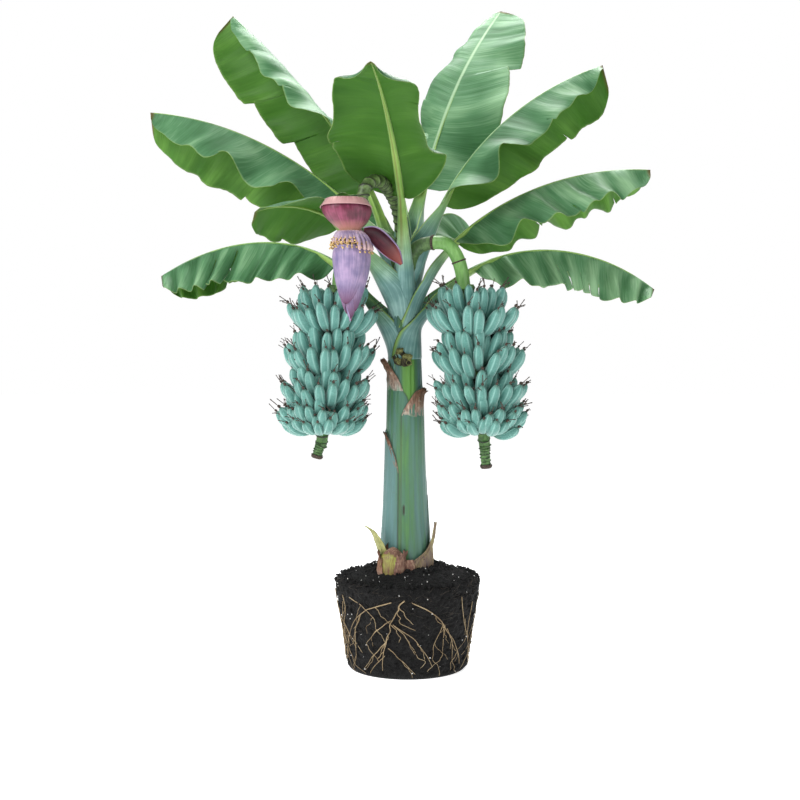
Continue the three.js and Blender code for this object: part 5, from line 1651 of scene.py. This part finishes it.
def raised_top_bract():
    """The bract lifted in front of the stalk: a broad bowl seen from its crimson inside, its end rolled back and
    painted pale pink as a highlight.
    """
    outline = np.array([  # height, half-width, half-depth
        [2.146, 0.044, 0.044], [2.160, 0.054, 0.050], [2.182, 0.080, 0.070], [2.208, 0.100, 0.088],
        [2.234, 0.113, 0.100], [2.256, 0.117, 0.102], [2.276, 0.108, 0.097], [2.291, 0.097, 0.090],
        [2.298, 0.093, 0.088], [2.292, 0.100, 0.096], [2.266, 0.119, 0.110]])
    centres = np.array([-0.268, -0.269, -0.272, -0.277, -0.281, -0.284, -0.286, -0.286, -0.286, -0.286, -0.286])

    def place(u, v):
        side = 2 * v - 1
        z, wide, deep = spline(outline, u).T
        turn = np.radians(-96 + side * (112 - 18 * u))
        ruffle = 1 + 0.02 * ripple(side * 2 + u, 0.3, 9)
        sag = -0.012 * np.abs(side) ** 3 * u
        return np.stack([spline(centres, u) + wide * ruffle * np.cos(turn),
                         FLOWER_Y + deep * ruffle * np.sin(turn), z + sag], 1)

    piece = shaped_grid("raised_bract_top", 40, 44, place)
    face_away(piece, (-0.28, FLOWER_Y, 2.23))
    thicken(piece, 0.004, ["bract inner", "bract lip highlight"], rim=1)
    finish(piece, "bract", ["flower_bract_top"])


def raised_side_bract():
    """The bract lifted to the right: a cupped scale, dark crimson inside, its upper edge turned over."""
    line = np.array([[-0.205, -0.424, 2.146], [-0.156, -0.430, 2.130], [-0.113, -0.430, 2.092],
                     [-0.064, -0.418, 2.042], [-0.028, -0.398, 1.994]])
    halves = (0.016, 0.036, 0.042, 0.034, 0.004)
    viewer = unit(np.array([-0.10, -1.0, -0.05]))

    def place(u, v):
        side = 2 * v - 1
        centre = spline(line, u)
        forward = unit(spline(line, np.clip(u + 0.02, 0, 1)) - spline(line, np.clip(u - 0.02, 0, 1)))
        across = unit(np.cross(viewer, forward))
        half = np.maximum(spline(halves, u), 0.002)
        bend = side * 1.15 + 0.75 * smooth(0.35, 1, side)
        return centre + across * (half * np.sin(bend))[:, None] + viewer * (half * (0.55 - np.cos(bend)))[:, None]

    piece = shaped_grid("raised_bract_side", 36, 26, place)
    middle = spline(line, np.array([0.5]))[0] + viewer * 0.2
    face_away(piece, middle)
    flip(piece)
    thicken(piece, 0.004, ["bract side", "bract outer"], rim=1)
    finish(piece, "bract", ["flower_bract_side"])


# ---------------------------------------------------------------- sizes and colours a user may change
def length(name, default, description):
    return bpy.props.FloatProperty(name=name, default=default, description=description, unit="LENGTH", min=0.0)


def count(name, default, description):
    return bpy.props.IntProperty(name=name, default=default, description=description, min=1)


def colour(name, default, description):
    return bpy.props.FloatVectorProperty(name=name, default=linear(default)[:3], description=description,
                                         subtype="COLOR", size=3, min=0.0, max=1.0)


class ColourSettings(bpy.types.PropertyGroup):
    """Colours."""
    leaf_upper: colour("Leaf, upper face", "#53825a", "Middle tone of a leaf's upper face")
    leaf_under: colour("Leaf, underside", "#46722b", "Middle tone of a leaf's underside")
    stalk_wax: colour("Leaf stalk", "#618d88", "Waxy back of the leaf stalks")
    stem_wax: colour("Stem, waxy", "#547a7c", "Stem where its wax is thick")
    stem_green: colour("Stem, bare", "#598a38", "Stem where its wax is rubbed off")
    fruit: colour("Fruit", "#52887f", "Middle tone of the bananas")
    bract_outer: colour("Bract, outside", "#7f7193", "Outer face of the flower's bracts")
    bract_inner: colour("Bract, inside", "#602237", "Inner face of the raised bract")
    soil: colour("Peat", "#0c0c0d", "Middle tone of the root ball")
    root: colour("Roots", "#988362", "Middle tone of the thick roots")


class LeafSettings(bpy.types.PropertyGroup):
    """Leaves."""
    pleat_depth: length("Pleat depth", 0.0011, "Height of the fine pleats between side veins")
    pleat_pitch: length("Pleat pitch", 0.017, "Distance between fine pleats along the midrib")
    fold_depth: length("Fold depth", 0.020, "Height of the broad folds at a blade's margin")
    fold_pitch: length("Fold pitch", 0.085, "Distance between broad folds along the midrib")
    thickness: length("Thickness", 0.0014, "Thickness of a leaf blade")
    stalk_wide: length("Stalk at its base", 0.056, "Half the width of a leaf stalk where it leaves the stem")
    stalk_narrow: length("Stalk at the blade", 0.028, "Half the width of a leaf stalk under the blade's foot")
    rib_half_width: length("Rib half width", 0.0085, "Half the width of a midrib at the blade's foot")
    sheath_step: length("Sheath step", 0.0018, "Height of the step at the edge of each wrapped sheath")


class FruitSettings(bpy.types.PropertyGroup):
    """Fruit."""
    finger_radius: length("Finger radius", 0.0268, "Radius of a banana at its thickest")
    fingers_outer: count("Outer fingers", 20, "Bananas in the outer row of a hand")
    fingers_inner: count("Inner fingers", 16, "Bananas in the inner row of a hand")
    fingers_core: count("Core fingers", 9, "Bananas in the innermost row of a hand")


class FlowerSettings(bpy.types.PropertyGroup):
    """Flower."""
    floret_count: count("Florets", 24, "Florets in each rank round the flower")


class BallSettings(bpy.types.PropertyGroup):
    """Root ball."""
    crumb_count: count("Crumbs", 4200, "Crumbs of peat on the root ball")
    lump_count: count("Lumps", 260, "Larger lumps of peat on the root ball")
    perlite_count: count("Perlite grains", 120, "White grains of perlite on the root ball")


class StageSettings(bpy.types.PropertyGroup):
    """Stage."""
    floor: colour("Floor", "#f2f2f2", "Colour of the floor")
    key_power: bpy.props.FloatProperty(name="Key light", default=285.0, unit="POWER", description="Key light's power")


SETTINGS = {"colour": ColourSettings, "leaf": LeafSettings, "fruit": FruitSettings, "flower": FlowerSettings,
            "ball": BallSettings, "stage": StageSettings}


def settings(group):
    return getattr(bpy.context.scene, "banana_" + group)


# ---------------------------------------------------------------- operators
class PlantOperator(bpy.types.Operator):
    """Common to all the steps."""
    bl_options = {"REGISTER", "UNDO"}

    def execute(self, context):
        self.make()
        return {"FINISHED"}


class BANANA_OT_stage(PlantOperator):
    """Adds the floor, the soft lights and the camera"""
    bl_idname = "banana.stage"
    bl_label = "Stage"

    def make(self):
        deselect()
        bpy.ops.mesh.primitive_plane_add(size=60)
        floor = bpy.context.object
        floor.name = "floor"
        sheet, tree, coords = start_material("matt paper floor")
        mottle = add(tree, "TexNoise", {"Vector": coords.outputs["Object"], "Scale": 3.0})
        shade = add(tree, "ValToRGB", {"Fac": mottle.outputs[0]},
                    stops=[(0.0, (*settings("stage").floor, 1.0)), (1.0, linear("#fafafa"))])
        finish_material(tree, shade.outputs[0], shade.outputs[0], mottle.outputs[0], 0.0,
                        Emission_Color=grey(1.0), Emission_Strength=0.80)
        floor.data.materials.append(sheet)
        world = bpy.data.worlds.new("soft white room")
        world.use_nodes = True
        tree = world.node_tree
        tree.nodes.clear()
        seen = add(tree, "LightPath")
        strength = add(tree, "MapRange", {"Value": seen.outputs["Is Camera Ray"], "To Min": 0.24, "To Max": 1.0})
        room = add(tree, "Background", {"Color": grey(1.0), "Strength": strength.outputs[0]})
        add(tree, "OutputWorld", {"Surface": room.outputs[0]})
        bpy.context.scene.world = world
        power = settings("stage").key_power
        for name, place, aim, size, share in (
                ("key", (-3.2, -3.8, 5.6), (0, 0, 1.6), 2.2, 0.95), ("top", (0.6, 1.9, 5.8), (0, 0, 2.0), 3.0, 1.35),
                ("left", (-5.5, -3.0, 2.6), (0, 0, 1.6), 3.0, 0.45), ("fill", (4.2, -4.6, 2.6), (0, 0, 1.5), 3.5, 0.35)):
            lamp = bpy.data.lights.new(name, "AREA")
            lamp.energy = power * share
            lamp.size = size
            light = bpy.data.objects.new(name, lamp)
            light.location = place
            light.rotation_euler = (Vector(aim) - Vector(place)).to_track_quat("-Z", "Y").to_euler()
            bpy.context.scene.collection.objects.link(light)
        lens = bpy.data.cameras.new("camera")
        lens.lens = 58.5
        lens.sensor_width = 36.0
        lens.shift_x = -0.0094
        camera = bpy.data.objects.new("camera", lens)
        camera.location = (0.0, -6.5, 1.66)
        camera.rotation_euler = (math.radians(87.18), 0.0, 0.0)
        bpy.context.scene.collection.objects.link(camera)
        bpy.context.scene.camera = camera
        bpy.context.scene.view_settings.view_transform = "Standard"


class BANANA_OT_root_ball(PlantOperator):
    """Makes the peat block with its crumbs, perlite, roots and fibres"""
    bl_idname = "banana.root_ball"
    bl_label = "Root ball"

    def make(self):
        ball = settings("ball")
        finish(soil_body(), "soil", ["root_ball"], "soil")
        rng = np.random.default_rng(5)
        crumbs = scattered("peat_crumbs", rng, ball.crumb_count, (0.006, 0.022), 0.68, 0.1, 1)
        finish(crumbs, "soil", key="soil")
        coarse = scattered("peat_lumps", np.random.default_rng(6), ball.lump_count, (0.018, 0.032), 0.9, 0.0, 3)
        finish(coarse, "soil", key="soil")
        grains = scattered("perlite_grains", rng, ball.perlite_count, (0.004, 0.009), 0.5, 0.3, 2, lift=0.010)
        finish(grains, "soil", key="perlite")
        finish(root_pieces(), "soil", key="root")
        finish(fine_fibres(), "soil", key="fibre")


class BANANA_OT_stem(PlantOperator):
    """Makes the pseudostem"""
    bl_idname = "banana.stem"
    bl_label = "Pseudostem"

    def make(self):
        finish(stem_piece(settings("leaf")), "stem_skin", ["pseudostem"], "stem")


class BANANA_OT_dry_sheaths(PlantOperator):
    """Makes the withered sheath ends on the stem"""
    bl_idname = "banana.dry_sheaths"
    bl_label = "Dry sheaths"

    def make(self):
        for order, name in enumerate(("sheath_left", "sheath_right", "sheath_low_left")):
            piece = flap(f"dry_{name}", FLAPS[name], ["dry sheath", "dry sheath"], 5 + order)
            finish(piece, "dry_sheath", [name])
        finish(torn_scar(), "dry_sheath", ["scar_tuft"])


class BANANA_OT_base_growth(PlantOperator):
    """Makes the sucker bud and the scales at the stem's foot"""
    bl_idname = "banana.base_growth"
    bl_label = "Young growth"

    def make(self):
        base_growth()


class BANANA_OT_leaf_stalks(PlantOperator):
    """Makes each leaf's stalk and midrib"""
    bl_idname = "banana.leaf_stalks"
    bl_label = "Leaf stalks and ribs"

    def make(self):
        for leaf in LEAVES:
            finish(petiole(leaf, stalk_order(leaf), settings("leaf")), "leaf_stalk", [f"stalk_{leaf.name}"], "petiole")


class BANANA_OT_leaf_blades(PlantOperator):
    """Makes each leaf's blade"""
    bl_idname = "banana.leaf_blades"
    bl_label = "Leaf blades"

    def make(self):
        for leaf in LEAVES:
            piece = blade(leaf, settings("leaf"), 150, 40)
            thicken(piece, settings("leaf").thickness, ["leaf upper", "leaf under", "leaf margin"], rim=2)
            finish(piece, "leaf_blade", [f"blade_{leaf.name}"])


class BANANA_OT_fruit_stalks(PlantOperator):
    """Makes the bunches' stalks, axes and tails"""
    bl_idname = "banana.fruit_stalks"
    bl_label = "Fruit stalks"

    def make(self):
        for bunch in BUNCHES:
            fruit_stalks(bunch)


class BANANA_OT_fruit(PlantOperator):
    """Makes every hand of bananas and the withered flower ends on their tips"""
    bl_idname = "banana.fruit"
    bl_label = "Fruit"

    def make(self):
        sizes = settings("fruit")
        counts = {"core": sizes.fingers_core, "inner": sizes.fingers_inner, "outer": sizes.fingers_outer}
        made = {(number, row): finger_piece(f"finger_{number}_{row}", row, hand, sizes.finger_radius)
                for number, hand in enumerate(HANDS) for row in counts}
        lines = {key: line for key, (_, line) in made.items()}
        forms = remnant_pieces()
        for bunch in BUNCHES:
            places, ends = fruit_places(bunch, lines, counts)
            for number in range(len(HANDS)):
                pieces = [joined_copies(f"fingers_{row}", made[number, row][0], places[number, row], True)
                          for row in counts if places[number, row]]
                piece = join(f"fingers_{bunch.side}_{number + 1}", pieces)
                finish(piece, "fruit", [f"fruit_hand_{bunch.side}_{number + 1}"], "fruit")
            stubs = []
            for form, source in enumerate(forms):
                matrices = [turned((math.cos(turn), math.sin(turn), 0.3), heading, tip, size)
                            for tip, heading, turn, size, kind in ends if kind == form]
                stubs.append(joined_copies(f"stubs_{form}", source, matrices, True))
            finish(join(f"flower_ends_{bunch.side}", stubs), "fruit", key="remnant")
        for source in [piece for piece, _ in made.values()] + forms:
            bpy.data.objects.remove(source)


class BANANA_OT_flower(PlantOperator):
    """Makes the flower: its ringed stalk, bud, florets and raised bracts"""
    bl_idname = "banana.flower"
    bl_label = "Flower"

    def make(self):
        flower_stalk()
        flower_bud()
        florets(settings("flower"))
        raised_top_bract()
        raised_side_bract()


STEPS = (BANANA_OT_stage, BANANA_OT_root_ball, BANANA_OT_stem, BANANA_OT_dry_sheaths, BANANA_OT_base_growth,
         BANANA_OT_leaf_stalks, BANANA_OT_leaf_blades, BANANA_OT_fruit_stalks, BANANA_OT_fruit, BANANA_OT_flower)


class BANANA_PT_plant(bpy.types.Panel):
    """Steps and settings of the banana plant."""
    bl_label = "Banana plant"
    bl_idname = "BANANA_PT_plant"
    bl_space_type = "VIEW_3D"
    bl_region_type = "UI"
    bl_category = "Banana plant"

    def draw(self, context):
        for step in STEPS:
            self.layout.operator(step.bl_idname)
        for group in SETTINGS:
            part = settings(group)
            self.layout.label(text=group.capitalize())
            for key in part.__annotations__:
                self.layout.prop(part, key)


def register():
    for group, kind in SETTINGS.items():
        bpy.utils.register_class(kind)
        setattr(bpy.types.Scene, "banana_" + group, bpy.props.PointerProperty(type=kind))
    for kind in (*STEPS, BANANA_PT_plant):
        bpy.utils.register_class(kind)


def unregister():
    for kind in (BANANA_PT_plant, *reversed(STEPS)):
        bpy.utils.unregister_class(kind)
    for group, kind in reversed(SETTINGS.items()):
        delattr(bpy.types.Scene, "banana_" + group)
        bpy.utils.unregister_class(kind)


def main():
    register()
    for step in STEPS:
        kind, name = step.bl_idname.split(".")
        getattr(getattr(bpy.ops, kind), name)()


if __name__ == "__main__":
    main()
